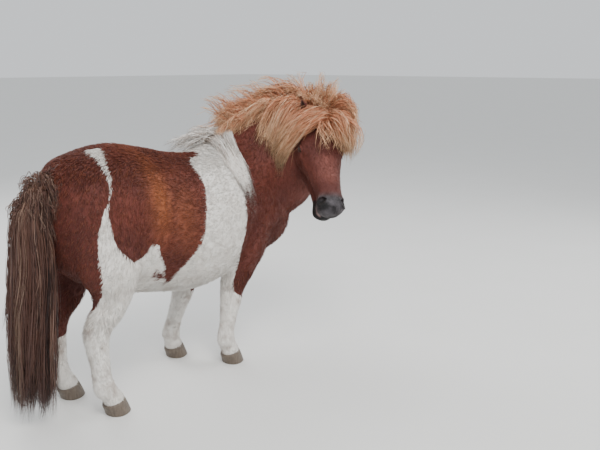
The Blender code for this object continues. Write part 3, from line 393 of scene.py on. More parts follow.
def loft(centre, up, side, top, bottom, width, upper, lower, around):
    """Oval rings: width times sine across, half height times cosine up, fuller at the corners."""
    angle = np.linspace(0, 2 * np.pi, around, endpoint=False)
    across, rise = np.sin(angle), np.cos(angle)
    middle, half = (top + bottom)[:, None] / 2, (top - bottom)[:, None] / 2
    full = np.where(rise > 0, upper[:, None], lower[:, None]) * np.sin(2 * angle) ** 2
    y = width[:, None] * across * (1 + full)
    z = middle + half * rise * (1 + full / 2)
    return centre[:, None, :] + up[:, None, :] * z[:, :, None] + side[:, None, :] * y[:, :, None]


def trunk_rings(count=120, around=80):
    """Upright rings along x."""
    rows = np.array(TRUNK)
    x = np.linspace(rows[0, 0], rows[-1, 0], count)
    v = smooth(rows[:, 0], rows[:, 1:], x)
    up, side = np.tile([0.0, 0.0, 1.0], (count, 1)), np.tile([0.0, 1.0, 0.0], (count, 1))
    centre = np.stack([x, 0 * x, 0 * x], 1)
    return loft(centre, up, side, v[:, 0], v[:, 1], v[:, 2], v[:, 3], v[:, 4], around)


def neck_stations(at):
    """Sizes of the neck at places 0 to 1, with its directions ahead, up and to the left."""
    rows = np.array(NECK)
    along = arc_length(rows[:, :3])
    along /= along[-1]
    at = np.asarray(at, float)
    v = smooth(along, rows, at)
    ahead = unit(smooth(along, rows[:, :3], np.minimum(at + 0.01, 1)) - smooth(along, rows[:, :3], at - 0.01))
    side = unit(np.cross([0.0, 0.0, 1.0], ahead))
    return v, ahead, np.cross(ahead, side), side


def neck_rings(count=100, around=64):
    """Rings square to the neck's middle line."""
    v, _, up, side = neck_stations(np.linspace(0.001, 1, count))
    return loft(v[:, :3], up, side, v[:, 3], -v[:, 4], v[:, 5], v[:, 6], v[:, 7], around)


def leg_rings(stations, hand, forward, count=120, around=48):
    """Rings square to a leg's middle line; its foot is set forward of its root."""
    rows = np.array(stations)
    swing = np.clip((SWING_HEIGHT - rows[:, 1]) / (SWING_HEIGHT - SWING_END), 0, 1) * forward
    line = np.stack([rows[:, 0] + swing, rows[:, 2] * hand, rows[:, 1]], 1)
    along = arc_length(line)
    v = smooth(along, np.hstack([line, rows[:, 3:]]), np.linspace(0, along[-1], count))
    side = np.tile([0.0, 1.0, 0.0], (count, 1))
    front = unit(np.cross(side, unit(np.gradient(v[:, :3], axis=0))))
    front *= np.sign(front[:, :1])
    flat = np.zeros(count)
    return loft(v[:, :3], front, side, v[:, 3], -v[:, 4], v[:, 5], flat, flat, around)


def head_rings(stations, count=100, around=64):
    """Rings square to the face."""
    rows = np.array(stations)
    s = np.linspace(rows[0, 0], rows[-1, 0], count)
    v = smooth(rows[:, 0], rows[:, 1:], s)
    up, side = np.tile(BROW, (count, 1)), np.tile(LEFT, (count, 1))
    return loft(on_head(s, 0 * s), up, side, v[:, 0], v[:, 1], v[:, 2], v[:, 3], v[:, 4], around)


# %% [markdown]
# A surface on a grid becomes a mesh without a loop: quads are made from shifted index grids,
# and each open end gets a fan to its middle.
# %% Grids to meshes
def tube_faces(count, around):
    """Quads of a tube of rings, and triangles that close its two ends."""
    i, j = np.meshgrid(np.arange(count - 1), np.arange(around), indexing="ij")
    k = (j + 1) % around
    walls = np.stack([i * around + j, i * around + k, (i + 1) * around + k, (i + 1) * around + j], -1)
    j = np.arange(around)
    k = (j + 1) % around
    last = (count - 1) * around
    first_fan = np.stack([k, j, np.full(around, count * around)], 1)
    last_fan = np.stack([last + j, last + k, np.full(around, count * around + 1)], 1)
    return walls.reshape(-1, 4), np.concatenate([first_fan, last_fan])


def closed(rings):
    """Points, quads and triangles of a closed skin over rings."""
    count, around = rings.shape[:2]
    points = np.concatenate([rings.reshape(-1, 3), [rings[0].mean(0)], [rings[-1].mean(0)]])
    return (points, *tube_faces(count, around))


def mesh_from(name, points, quads=None, triangles=None):
    """A mesh object from arrays of points and of faces."""
    quads = np.zeros((0, 4), int) if quads is None else quads
    triangles = np.zeros((0, 3), int) if triangles is None else triangles
    mesh = bpy.data.meshes.new(name)
    mesh.vertices.add(len(points))
    mesh.vertices.foreach_set("co", np.asarray(points, np.float32).ravel())
    loops = np.concatenate([quads.ravel(), triangles.ravel()]).astype(np.int32)
    sizes = np.concatenate([np.full(len(quads), 4), np.full(len(triangles), 3)])
    if len(sizes):
        mesh.loops.add(len(loops))
        mesh.loops.foreach_set("vertex_index", loops)
        mesh.polygons.add(len(sizes))
        mesh.polygons.foreach_set("loop_start", (np.cumsum(sizes) - sizes).astype(np.int32))
    mesh.update(calc_edges=True)
    mesh.validate()
    thing = bpy.data.objects.new(name, mesh)
    bpy.context.scene.collection.objects.link(thing)
    return thing


def turned_out(thing):
    """Makes the faces of a closed mesh point outwards."""
    body = bmesh.new()
    body.from_mesh(thing.data)
    bmesh.ops.recalc_face_normals(body, faces=body.faces)
    if body.calc_volume(signed=True) < 0:
        bmesh.ops.reverse_faces(body, faces=body.faces)
    body.to_mesh(thing.data)
    body.free()
    return thing


def applied(thing):
    """Replaces the mesh by itself with its modifiers applied."""
    view = bpy.context.evaluated_depsgraph_get()
    mesh = bpy.data.meshes.new_from_object(thing.evaluated_get(view))
    thing.modifiers.clear()
    thing.data = mesh
    return thing


def vectors_of(items, key):
    """One vector from each item, as an array."""
    values = np.empty(len(items) * 3, np.float32)
    items.foreach_get(key, values)
    return values.reshape(-1, 3).astype(float)


def points_of(thing):
    """Vertices as an array."""
    return vectors_of(thing.data.vertices, "co")


def normals_of(thing):
    """Vertex normals as an array."""
    return vectors_of(thing.data.vertex_normals, "vector")


def move_to(thing, points):
    """Writes the vertices back."""
    thing.data.vertices.foreach_set("co", np.asarray(points, np.float32).ravel())
    thing.data.update()


def piece(thing, nodes, finish):
    """Shades a finished piece smooth, paints it and hangs it on the frame."""
    thing.data.transform(Matrix.Translation(SHIFT))
    thing.data.polygons.foreach_set("use_smooth", np.ones(len(thing.data.polygons), bool))
    thing.data.materials.clear()
    thing.data.materials.append(finish.material)
    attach(thing, "root")
    if nodes:
        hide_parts(*nodes)
    triangles = len(thing.data.loops) - 2 * len(thing.data.polygons)
    print("piece", thing.name, triangles, "triangles")
    return thing


# %% [markdown]
# The forms are fused by a voxel remesh, as clay is pressed together, and then smoothed over
# about the same distance as the solids were.
# %% Fuse the body into one skin
VOXEL = 0.0035

forms = [trunk_rings(), neck_rings(), head_rings(SKULL), head_rings(JAW)]
forms += [leg_rings(*leg) for leg in LEGS.values()]
all_points, all_quads, all_fans, count = [], [], [], 0
for form in forms:
    some, quads, fans = closed(form)
    all_points.append(some)
    all_quads.append(quads + count)
    all_fans.append(fans + count)
    count += len(some)
skin = mesh_from("skin", np.concatenate(all_points), np.concatenate(all_quads), np.concatenate(all_fans))
fuse = skin.modifiers.new("fuse", "REMESH")
fuse.mode = "VOXEL"
fuse.voxel_size = VOXEL
applied(skin)
print("fused skin", len(skin.data.polygons), "quads")

# %% [markdown]
# The head keeps crisper forms than the body, so the smoothing is weighted by a vertex group.
# %% Soften, more on the body than on the head
SOFTEN_FACTOR, SOFTEN_STEPS = 0.6, 26
HEAD_SOFTNESS, BODY_SOFTNESS = 0.35, 1.0
HEAD_HALF_WIDTH = 0.14

s, d, w = head_local(points_of(skin))
past_poll, above_throat = np.clip((s + 0.04) / 0.08, 0, 1), np.clip((d + 0.30) / 0.05, 0, 1)
of_head = past_poll * (np.abs(w) < HEAD_HALF_WIDTH) * above_throat > 0.5
soft = skin.vertex_groups.new(name="soft")
soft.add(np.flatnonzero(of_head).tolist(), HEAD_SOFTNESS, "REPLACE")
soft.add(np.flatnonzero(~of_head).tolist(), BODY_SOFTNESS, "REPLACE")
soften = skin.modifiers.new("soften", "SMOOTH")
soften.factor = SOFTEN_FACTOR
soften.iterations = SOFTEN_STEPS
soften.vertex_group = "soft"
applied(skin)
skin.vertex_groups.clear()
print("softened, of it on the head", of_head.sum(), "points")

# %% [markdown]
# Muscles, hip points, cheeks and the brow are low swellings. Each is a bell curve about a
# place, with a radius along each of its axes and a height. On the head a place is given along
# the face, to the left and out of the brow.
# %% Muscles and bony points
BODY_BUMPS = (
    ((-0.300, 0.135, 0.865), (0.050, 0.040, 0.050), 0.010),
    ((-0.230, 0.215, 0.620), (0.070, 0.060, 0.100), -0.010),
    ((-0.330, 0.215, 0.560), (0.060, 0.060, 0.070), 0.010),
    ((0.330, 0.190, 0.700), (0.050, 0.060, 0.130), 0.010),
    ((0.400, 0.150, 0.600), (0.050, 0.050, 0.050), 0.014),
    ((0.170, 0.180, 0.520), (0.050, 0.060, 0.050), 0.008),
    ((0.120, 0.230, 0.640), (0.070, 0.070, 0.150), -0.008),
)
HEAD_BUMPS = (
    ((0.125, 0.090, -0.025), (0.028, 0.030, 0.014), 0.008),
    ((0.120, 0.085, -0.130), (0.060, 0.040, 0.055), 0.010),
    ((0.075, 0.085, -0.045), (0.025, 0.030, 0.022), -0.007),
    ((0.195, 0.080, -0.060), (0.060, 0.030, 0.010), 0.005),
    ((0.386, 0.045, -0.030), (0.020, 0.020, 0.022), 0.008),
    ((0.340, 0.055, -0.060), (0.035, 0.020, 0.020), -0.004),
)
LIP_BUMPS = (
    ((0.405, 0.0, -0.078), (0.020, 0.040, 0.012), 0.005),
    ((0.385, 0.0, -0.135), (0.022, 0.030, 0.020), 0.005),
)


def bell(value, middle, radius):
    """exp(-((value - middle) / radius)^2)."""
    return np.exp(-((value - middle) / radius) ** 2)


def bells(local, bumps, hands):
    """Sum of height times exp(-distance squared), distance measured in radii."""
    lift = np.zeros(len(local))
    for place, radii, height in bumps:
        for hand in hands:
            away = (local - np.array(place) * (1, hand, 1)) / np.array(radii)
            lift += height * np.exp(-(away**2).sum(1))
    return lift


points = points_of(skin)
s, d, w = head_local(points)
local = np.stack([s, w, d], 1)
lift = bells(points, BODY_BUMPS, (-1, 1))
lift += bells(local, HEAD_BUMPS, (-1, 1)) + bells(local, LIP_BUMPS, (1,))
move_to(skin, points + normals_of(skin) * lift[:, None])
print("swollen by", lift.min().round(4), lift.max().round(4))

# %% [markdown]
# The eyes sit where the frame has them. From each one come its three directions: out of the
# head, along the face and up.
# %% Directions of the eyes
EYE = (0.135, -0.046, 0.200)
EYE_RADIUS = 0.0175
LID = 0.0035
LID_LENGTH, LID_HEIGHT = 0.0300, 0.0185


def head_direction(shares, hand):
    """Unit direction from its shares along the face, out of the brow and to one side."""
    along, over, left = shares
    return unit(FACE * along + BROW * over + LEFT * (left * hand))


skin_tree = BVHTree.FromObject(skin, bpy.context.evaluated_depsgraph_get())
eyes = {}
for hand, word in ((-1, "right"), (1, "left")):
    low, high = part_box("eye_" + word)
    centre = (np.array(low) + np.array(high)) / 2 - SHIFT
    _, normal, _, _ = skin_tree.ray_cast(Vector(on_head(EYE[0], EYE[1], EYE[2] * hand)), Vector(-LEFT * hand))
    out = unit(np.array(normal))
    along = unit(FACE - out * (FACE @ out))
    eyes[word] = (centre, out, along, np.cross(out, along) * -hand)
print("eyes", {word: centre.round(3).tolist() for word, (centre, *_) in eyes.items()})

# %% [markdown]
# The nostrils slant outwards at the end of the muzzle. Their place is found on the skin, along
# the direction in which the hole goes in.
# %% Directions of the nostrils
NOSTRIL = (0.370, -0.024, 0.032)
NOSTRIL_INWARD, NOSTRIL_SLANT = (-0.62, -0.25, -0.70), (0.25, 0.80, -0.45)
NOSTRIL_DEPTH, NOSTRIL_HALF_LENGTH, NOSTRIL_HALF_WIDTH = 0.0250, 0.0200, 0.0135
START_OUTSIDE = 0.2

nostrils = []
for hand in (-1, 1):
    deep = head_direction(NOSTRIL_INWARD, hand)
    start = on_head(NOSTRIL[0], NOSTRIL[1], NOSTRIL[2] * hand) - deep * START_OUTSIDE
    place = np.array(skin_tree.ray_cast(Vector(start), Vector(deep))[0])
    long_way = head_direction(NOSTRIL_SLANT, hand)
    long_way = unit(long_way - deep * (long_way @ deep))
    nostrils.append((place, deep, long_way, np.cross(deep, long_way)))
print("nostrils", [place.round(3).tolist() for place, *_ in nostrils])

# %% [markdown]
# The skin is first thinned where it is plain, and kept dense on the head. Then the places that
# carry fine folds are divided again: round the eyes, the nostrils and the mouth.
# %% Triangles where the detail is
BODY_TRIANGLES = 120000
HEAD_THINNING, BODY_THINNING = 0.35, 1.0
FOLD_FIELD, MOUTH_FIELD = 0.034, 0.050
MOUTH = (0.400, -0.095)


def share_head(points):
    """1 on the head and 0 on the rest, rising over the poll and the throat."""
    s, d, w = head_local(points)
    near = np.clip((0.150 - np.abs(w)) / 0.03, 0, 1) * np.clip((d + 0.29) / 0.04, 0, 1)
    return np.clip((s + 0.05) / 0.07, 0, 1) * near


of_head = share_head(points_of(skin)) > 0.5
loss = skin.vertex_groups.new(name="loss")
loss.add(np.flatnonzero(~of_head).tolist(), BODY_THINNING, "REPLACE")
loss.add(np.flatnonzero(of_head).tolist(), HEAD_THINNING, "REPLACE")
fewer = skin.modifiers.new("fewer", "DECIMATE")
fewer.ratio = BODY_TRIANGLES / (2 * len(skin.data.polygons))
fewer.vertex_group = "loss"
fewer.vertex_group_factor = 0.3
fewer.use_collapse_triangulate = True
applied(skin)
skin.vertex_groups.clear()


def divide_near(thing, centres, radius):
    """Divides the edges that lie within a radius of any of the centres."""
    points = points_of(thing)
    near = np.min([np.linalg.norm(points - centre, axis=1) for centre in centres], axis=0) < radius
    body = bmesh.new()
    body.from_mesh(thing.data)
    edges = [edge for edge in body.edges if near[edge.verts[0].index] and near[edge.verts[1].index]]
    bmesh.ops.subdivide_edges(body, edges=edges, cuts=1, use_grid_fill=True, smooth=0.0)
    bmesh.ops.triangulate(body, faces=[face for face in body.faces if len(face.verts) > 3])
    body.to_mesh(thing.data)
    body.free()


eye_places = [centre + out * EYE_RADIUS for centre, out, _, _ in eyes.values()]
nostril_places = [place for place, *_ in nostrils]
divide_near(skin, eye_places + nostril_places, FOLD_FIELD)
divide_near(skin, [on_head(*MOUTH, side) for side in (-0.03, 0.0, 0.03)], MOUTH_FIELD)
divide_near(skin, eye_places + nostril_places, FOLD_FIELD * 0.8)
print("skin", len(skin.data.polygons), "triangles")

# %% [markdown]
# The skin lies a coat's depth inside the frame. A lid is the eyeball's own round carried
# outwards by its thickness, and inside the opening the skin goes back behind the ball. The
# crease and the brow over the eye, and the rim round a nostril, are bell curves: each has a
# height, its distance from the middle counted in openings, and its width.
# %% Coat depth, lids and nostrils
COAT_DEPTH = 0.002
CREASE, EYE_BROW = (0.0022, 1.75, 0.16), (0.0030, 2.25, 0.30)
NOSTRIL_RIM, NOSTRIL_WALL = (0.0026, 1.32, 0.22), 0.020
BEHIND_BALL = 0.004


def smoothstep(value):
    """3x^2 - 2x^3 between 0 and 1."""
    x = np.clip(value, 0, 1)
    return x * x * (3 - 2 * x)


points = points_of(skin) - normals_of(skin) * COAT_DEPTH
for centre, out, along, above in eyes.values():
    away = points - centre
    a, h, o = away @ along, away @ above, away @ out
    flat = np.hypot(a, h)
    before = o > -0.01
    dome = np.sqrt(np.maximum((EYE_RADIUS + LID) ** 2 - flat**2, 0))
    opening = np.hypot(a / (LID_LENGTH / 2), h / (LID_HEIGHT / 2))
    inside = smoothstep((1.12 - opening) / 0.16)
    crease, brow = (high * bell(opening, *form) * (h > 0) for high, *form in (CREASE, EYE_BROW))
    raised = np.maximum(o, dome) - crease
    sunk = np.sqrt(np.maximum(EYE_RADIUS**2 - flat**2, 0)) - BEHIND_BALL
    lids = raised * (1 - inside) + sunk * inside
    around = o + (brow - crease) * before * (flat < 0.03)
    goal = np.where((flat < EYE_RADIUS + LID) & before, lids, around)
    points += out * (goal - o)[:, None]
for place, deep, long_way, wide in nostrils:
    away = points - place
    ring = np.hypot((away @ long_way) / NOSTRIL_HALF_LENGTH, (away @ wide) / NOSTRIL_HALF_WIDTH)
    close = np.abs(away @ deep) < NOSTRIL_WALL
    hole = NOSTRIL_DEPTH * smoothstep((1.05 - ring) / 0.75) * close
    rim = NOSTRIL_RIM[0] * bell(ring, *NOSTRIL_RIM[1:]) * close
    points += deep * (hole - rim)[:, None]
move_to(skin, points)
print("skin within", points.min(0).round(3), points.max(0).round(3))

# %% [markdown]
# A pinto's coat is two colours with a sharp border. The border is drawn once, as outlines on the
# side that the photographer saw and as others on the side that nobody saw, and each point of the
# skin takes its distance to it. The skin and the coat read the same distances. The first three
# are in the photo's pixels, seen from the camera, and the hidden side is in metres: x and height.
# %% Outlines of the markings
CROUP_MARK = (
    (85, 146), (104, 149), (109, 159), (111.4, 174), (111.6, 190), (109.4, 206), (107.6, 206), (109.4, 190),
    (108.4, 178), (105, 168), (99, 159), (87, 151),
)
WHITE_SIDE = (
    (107.5, 202), (108, 214), (111.5, 227), (114, 240), (120, 251), (130, 259), (134, 262.6), (138, 261),
    (146, 254), (152, 244.5), (159, 244.5), (161, 255), (166, 266), (167, 275), (165, 284), (171, 281),
    (180, 270), (191, 259), (202, 244), (206, 231), (207, 214), (206.6, 195), (204.6, 184), (199, 174),
    (192, 164), (193, 158), (200, 157), (200, 152), (192, 148), (190, 128), (200, 100), (222, 100),
    (221, 128), (230, 140), (235, 156), (241, 180), (246, 200), (248, 216), (245.5, 234), (242, 247),
    (239, 262), (233.5, 280), (235, 293), (243, 297), (275, 300), (275, 440), (74, 440), (78, 328),
    (93, 311), (102, 297), (103, 285), (101.5, 271), (99, 262), (98, 247), (99.5, 231), (103, 216),
)
# A round of brown inside the white is painted shade, where a skin fold by the sheath lies in shade.
FOLD_SHADE_SPOT = ((159.6, 274.5), 5.4)
HIDDEN_SIDE = (
    (0.10, 1.20), (0.06, 0.86), (0.09, 0.74), (0.02, 0.62), (-0.05, 0.55), (-0.14, 0.52), (-0.20, 0.44),
    (-0.24, 0.36), (-0.22, 0.20), (0.12, 0.20), (0.16, 0.38), (0.22, 0.46), (0.27, 0.56), (0.25, 0.68),
    (0.30, 0.80), (0.27, 0.90), (0.30, 1.20),
)
HIND_SOCK, FORE_SOCK = 0.255, 0.275
BUTTOCKS, BREAST = -0.40, 0.30
LIMIT = 0.05


def seen_from_station(points):
    """Photo coordinates of points, and how far ahead of the lens each lies."""
    away = points - STATION
    depth = away @ AHEAD
    u = PHOTO_SIZE[0] / 2 + FOCAL * (away @ RIGHT) / depth
    v = PHOTO_SIZE[1] / 2 - FOCAL * (away @ ABOVE) / depth
    return u, v, depth


def outline_distance(x, y, outline):
    """Distance to a closed outline, positive inside: nearest edge, and the count of crossings."""
    corners = np.array(outline, float)
    best = np.full(len(x), np.inf)
    inside = np.zeros(len(x), bool)
    for (ax, ay), (bx, by) in zip(corners, np.roll(corners, -1, axis=0)):
        ex, ey = bx - ax, by - ay
        t = np.clip(((x - ax) * ex + (y - ay) * ey) / (ex * ex + ey * ey), 0, 1)
        best = np.minimum(best, np.hypot(x - ax - t * ex, y - ay - t * ey))
        if ey:
            inside ^= ((ay > y) != (by > y)) & (x < ax + (y - ay) / ey * ex)
    return np.where(inside, best, -best)


def markings(points):
    """Distance to the white markings in metres, positive in the white, kept within a limit."""
    x, y, z = points.T
    u, v, depth = seen_from_station(points)
    scale = depth / FOCAL
    (spot_u, spot_v), spot_radius = FOLD_SHADE_SPOT
    seen = np.maximum(outline_distance(u, v, CROUP_MARK), outline_distance(u, v, WHITE_SIDE)) * scale
    # The round of painted shade by the sheath is cut out of the white.
    seen = np.minimum(seen, (np.hypot(u - spot_u, v - spot_v) - spot_radius) * scale)
    sock = np.where(x < 0, HIND_SOCK, FORE_SOCK) - z
    hidden = np.maximum(outline_distance(x, z, HIDDEN_SIDE), sock)
    left = smoothstep((y + 0.02) / 0.05)
    mixed = seen * (1 - left) + hidden * left
    rear = smoothstep((BUTTOCKS - x) / 0.06) * smoothstep((z - 0.45) / 0.1)
    mixed = np.where(rear > 0.5, np.where(y < 0.02, seen, -LIMIT), mixed)
    ahead = smoothstep((x - BREAST) / 0.06) * smoothstep((z - 0.36) / 0.05)
    mixed = np.where(ahead > 0.5, np.minimum(mixed, BREAST - x + 0.03), mixed)
    return np.where(share_head(points) > 0.3, -LIMIT, np.clip(mixed, -LIMIT, LIMIT))


# %% [markdown]
# Besides the border, the brown itself changes: a painted glow of light lies over the flank, the
# brown is darker down the legs and the head, grey at the muzzle, a painted highlight runs down the
# bridge of the nose, and painted shade fills the nostrils and the mouth, black at the lower lip.
# Each change is one number that the mesh carries. A glow patch has a strength, and a place and a
# radius along x and in height.
# %% Shades that the mesh carries
# Painted glow of light over the flank, in rust-brown.
GLOW_PATCHES = ((1.00, (-0.20, 0.045), (0.76, 0.13)), (0.45, (-0.11, 0.060), (0.68, 0.12)))
# The radius is that of the painted shade round each nostril.
MUZZLE_START, NOSTRIL_SHADE_RADIUS = 0.338, 0.023
MOUTH_LINE, CHIN_LINE, PINK_LINE = (-0.094, 0.012), -0.10, (-0.105, 0.0024)


def shades(points):
    """Painted flank glow, dark, muzzle grey, painted bridge highlight, painted shade in holes with black lip,
    lip pink: each 0 to 1.
    """
    x, y, z = points.T
    s, d, w = head_local(points)
    head = share_head(points)
    flank_glow = np.max([most * bell(x, *wide) * bell(z, *tall) for most, wide, tall in GLOW_PATCHES], axis=0)
    # The painted glow is stronger on the right side than on the left.
    flank_glow = flank_glow * (0.4 + 0.6 * smoothstep((0.02 - y) / 0.06))
    muzzle = head * smoothstep((s - MUZZLE_START + 0.12 * np.clip(-0.03 - d, 0, 0.1)) / 0.042)
    # A painted highlight down the bridge of the nose, which the dark of the head leaves out.
    bridge = head * bell(w, 0.0, 0.045) * smoothstep((s - 0.16) / 0.05) * smoothstep((0.33 - s) / 0.06)
    cheek = smoothstep((s - 0.02) / 0.1) * smoothstep((0.30 - s) / 0.1) * (d < -0.03)
    dark = head * (1 - 0.55 * cheek)
    dark = np.maximum(dark, smoothstep((0.55 - z) / 0.25) * (1 - head) * 0.7)
    # Painted shade in the nostrils and in the gap of the mouth, and the black skin of the lower lip and chin.
    away = [np.linalg.norm(points - place, axis=1) for place in nostril_places]
    holes = np.maximum(*(np.exp(-((distance / NOSTRIL_SHADE_RADIUS) ** 6)) for distance in away))
    mouth = head * smoothstep((s - 0.34) / 0.02) * bell(d, *MOUTH_LINE)
    chin = head * smoothstep((CHIN_LINE - d) / 0.01) * (s > 0.33)
    shade_and_black_lip = np.maximum(holes, 0.9 * np.maximum(mouth, chin))
    corner = smoothstep((s - 0.350) / 0.02) * smoothstep((-w - 0.012) / 0.01)
    lip = 0.8 * head * bell(d, *PINK_LINE) * corner
    return dict(flank_glow=flank_glow, dark=dark * (1 - bridge), muzzle=muzzle, bridge_highlight=bridge, shade_and_black_lip=shade_and_black_lip, lip=lip)


def carry(thing, name, values):
    """Stores one number for each point."""
    made = thing.data.attributes.new(name, "FLOAT", "POINT")
    made.data.foreach_set("value", np.asarray(values, np.float32))


def carry_coat(thing, points):
    """Stores the distance to the border and the shades."""
    carry(thing, "white", markings(points))
    for name, values in shades(points).items():
        carry(thing, name, values)


carry_coat(skin, points_of(skin))
print("markings on", len(skin.data.vertices), "points")

# %% [markdown]
# The coat's finish reads those numbers. Its bump is a fine noise drawn out along the hair, over
# a broader one for the clumps that a thick winter coat falls into.
# %% Finish of the coat
CHESTNUT, CHESTNUT_DARK = (0.180, 0.043, 0.028), (0.072, 0.017, 0.013)
# The rust colour paints the glow of light on the flank, and is also the colour of the light tufts.
RUST_AND_GLOW, WHITE, CREAM = (0.280, 0.084, 0.030), (0.800, 0.780, 0.740), (0.560, 0.470, 0.400)
# The rose colour is the painted highlight on the bridge of the nose.
MUZZLE_GREY, MUZZLE_DARK, BRIDGE_HIGHLIGHT = (0.080, 0.072, 0.080), (0.010, 0.009, 0.010), (0.200, 0.066, 0.052)
# Soot is painted shade in the nostrils and the mouth, and the black of the lower lip.
SHADE_AND_BLACK_LIP, LIP_PINK, STAIN = (0.003, 0.003, 0.003), (0.420, 0.280, 0.260), (0.260, 0.180, 0.140)
BORDER_RAGGED, BORDER_SOFT = 0.010, 0.0015
TUFT_CONTRAST = 0.7


def coat_colour(finish, tuft):
    """Brown by noise, the dark, a painted glow and a painted highlight; then white past the border; then the
    muzzle; then painted shade in the holes.
    """
    cloud = finish.noise(9.0, 3.0)
    fine = finish.noise(260.0, 2.0, (1, 1, 0.25))
    ripple = finish.noise(60.0, 2.0, (0.35, 0.35, 2.2))
    brown = finish.mix(patches(cloud, 1.6, 0.4), CHESTNUT_DARK, CHESTNUT)
    shaded = patches(fine, 1.6, 0.3) * 0.30 + patches(ripple, 2.4, 0.9) * 0.25
    brown = finish.mix(shaded, brown, CHESTNUT_DARK)
    # Painted glow of light over the flank.
    brown = finish.mix((finish.attribute("flank_glow") * (cloud * 0.8 + 0.5)).clamp(), brown, RUST_AND_GLOW)
    brown = finish.mix((finish.attribute("dark") * 0.75).clamp(), brown, CHESTNUT_DARK)
    # Painted highlight on the bridge of the nose.
    brown = finish.mix(finish.attribute("bridge_highlight") * 0.7, brown, BRIDGE_HIGHLIGHT)
    border = finish.noise(70.0, 2.0)
    ragged = finish.attribute("white") + (border - 0.5) * BORDER_RAGGED
    white_share = ragged.ramp(-BORDER_SOFT, BORDER_SOFT)
    white = finish.mix(patches(finish.noise(14.0, 3.0), 1.5, 0.45) * 0.35, WHITE, CREAM)
    stained = (finish.attribute("dark") * (finish.noise(22.0, 3.0) - 0.48) * 3.5).clamp()
    white = finish.mix(stained, white, STAIN)
    colour = finish.mix(white_share, brown, white)
    grey = finish.mix(patches(finish.noise(30.0, 2.0), 2.6, 0.9), MUZZLE_DARK, MUZZLE_GREY)
    colour = finish.mix(finish.attribute("muzzle"), colour, grey)
    if tuft:
        tone, furred = finish.attribute("tone"), 1 - finish.attribute("muzzle")
        light = finish.mix(white_share, RUST_AND_GLOW, WHITE)
        dark = finish.mix(white_share, CHESTNUT_DARK, CREAM)
        colour = finish.mix((tone - 0.5).clamp() * furred * TUFT_CONTRAST, colour, light)
        colour = finish.mix((0.5 - tone).clamp() * furred * TUFT_CONTRAST, colour, dark)
    # Painted shade in the nostrils and the mouth, and the black lower lip.
    colour = finish.mix(finish.attribute("shade_and_black_lip"), colour, SHADE_AND_BLACK_LIP)
    colour = finish.mix(finish.attribute("lip"), colour, LIP_PINK)
    return colour, fine


FUR = dict(
    Roughness=0.62, Specular_IOR_Level=0.25, Sheen_Weight=0.08, Sheen_Roughness=0.45,
    Sheen_Tint=(1.0, 0.76, 0.68, 1.0),
)
skin_finish = Finish("short_coat", **FUR)
skin_colour, skin_fine = coat_colour(skin_finish, False)
skin_finish.feed("Base Color", skin_colour)
skin_finish.bump(skin_fine + skin_finish.noise(45.0, 2.0, (1, 1, 0.4)) * 1.5, 0.003)

BODY_NODES = ["torso", "neck", "head"] + [f"{leg}_{part}" for leg in LEGS for part in ("upper", "lower")]

# %% [markdown]
# The eyeball is a glossy dark ball with a slightly raised cornea in front. The grid is a function
# of two angles, and its poles point out of and into the head.
# %% Eyes
CORNEA_RISE, CORNEA_ANGLE = 0.045, 0.55
PUPIL_HALF = (0.0075, 0.0045)
PUPIL_COLOUR, IRIS_COLOURS = (0.004, 0.004, 0.006), ((0.030, 0.012, 0.006), (0.060, 0.026, 0.012))


def globe(centre, out, along, above, radius, rings=40, around=56):
    """radius times (cos a, sin a cos b, sin a sin b), raised near the pole by a bell."""
    a = np.linspace(0.03, np.pi - 0.03, rings)[:, None]
    b = np.linspace(0, 2 * np.pi, around, endpoint=False)[None, :]
    size = radius * (1 + CORNEA_RISE * bell(a, 0.0, CORNEA_ANGLE))
    local = np.stack([np.cos(a) + 0 * b, np.sin(a) * np.cos(b), np.sin(a) * np.sin(b)], -1) * size[..., None]
    return centre + local @ np.array((out, along, above))


eye_finish = Finish("eye", Roughness=0.06, Coat_Weight=1.0, Coat_Roughness=0.03)
iris = eye_finish.mix(eye_finish.noise(500.0, 2.0), *IRIS_COLOURS)
eye_finish.feed("Base Color", eye_finish.mix(eye_finish.attribute("pupil"), iris, PUPIL_COLOUR))
for word, (centre, out, along, above) in eyes.items():
    ball = mesh_from("ball_" + word, *closed(globe(centre, out, along, above, EYE_RADIUS)))
    turned_out(ball)
    away = points_of(ball) - centre
    opening = np.hypot((away @ along) / PUPIL_HALF[0], (away @ above) / PUPIL_HALF[1])
    carry(ball, "pupil", smoothstep((1 - opening) / 0.2) * (away @ out > 0))
    piece(ball, ["eye_" + word], eye_finish)

# %% [markdown]
# The edge of a lid is bare, dark and wet. It is a thin tube swept round the opening, on a round
# just outside the ball.
# %% Rims of the lids
RIM_POINTS, RIM_SPREAD, RIM_SHARPNESS = 96, 1.02, 1.15
RIM_OFF_BALL, RIM_RADIUS, UPPER_RIM_MORE = 0.0011, 0.0017, 0.0007
RIM_COLOURS = (0.012, 0.009, 0.008), (0.035, 0.024, 0.020)


def sweep(line, radius, around=10):
    """A closed ring of circles: radius times cosine outwards and sine along the binormal."""
    ahead = unit(np.roll(line, -1, axis=0) - np.roll(line, 1, axis=0))
    outwards = unit(line - line.mean(0))
    outwards = unit(outwards - ahead * (outwards * ahead).sum(1, keepdims=True))
    third = np.cross(ahead, outwards)
    b = np.linspace(0, 2 * np.pi, around, endpoint=False)[None, :, None]
    spokes = outwards[:, None] * np.cos(b) + third[:, None] * np.sin(b)
    rings = line[:, None] + radius[:, None, None] * spokes
    i, j = np.meshgrid(np.arange(len(line)), np.arange(around), indexing="ij")
    i2, j2 = (i + 1) % len(line), (j + 1) % around
    quads = np.stack([i * around + j, i * around + j2, i2 * around + j2, i2 * around + j], -1)
    return rings.reshape(-1, 3), quads.reshape(-1, 4)


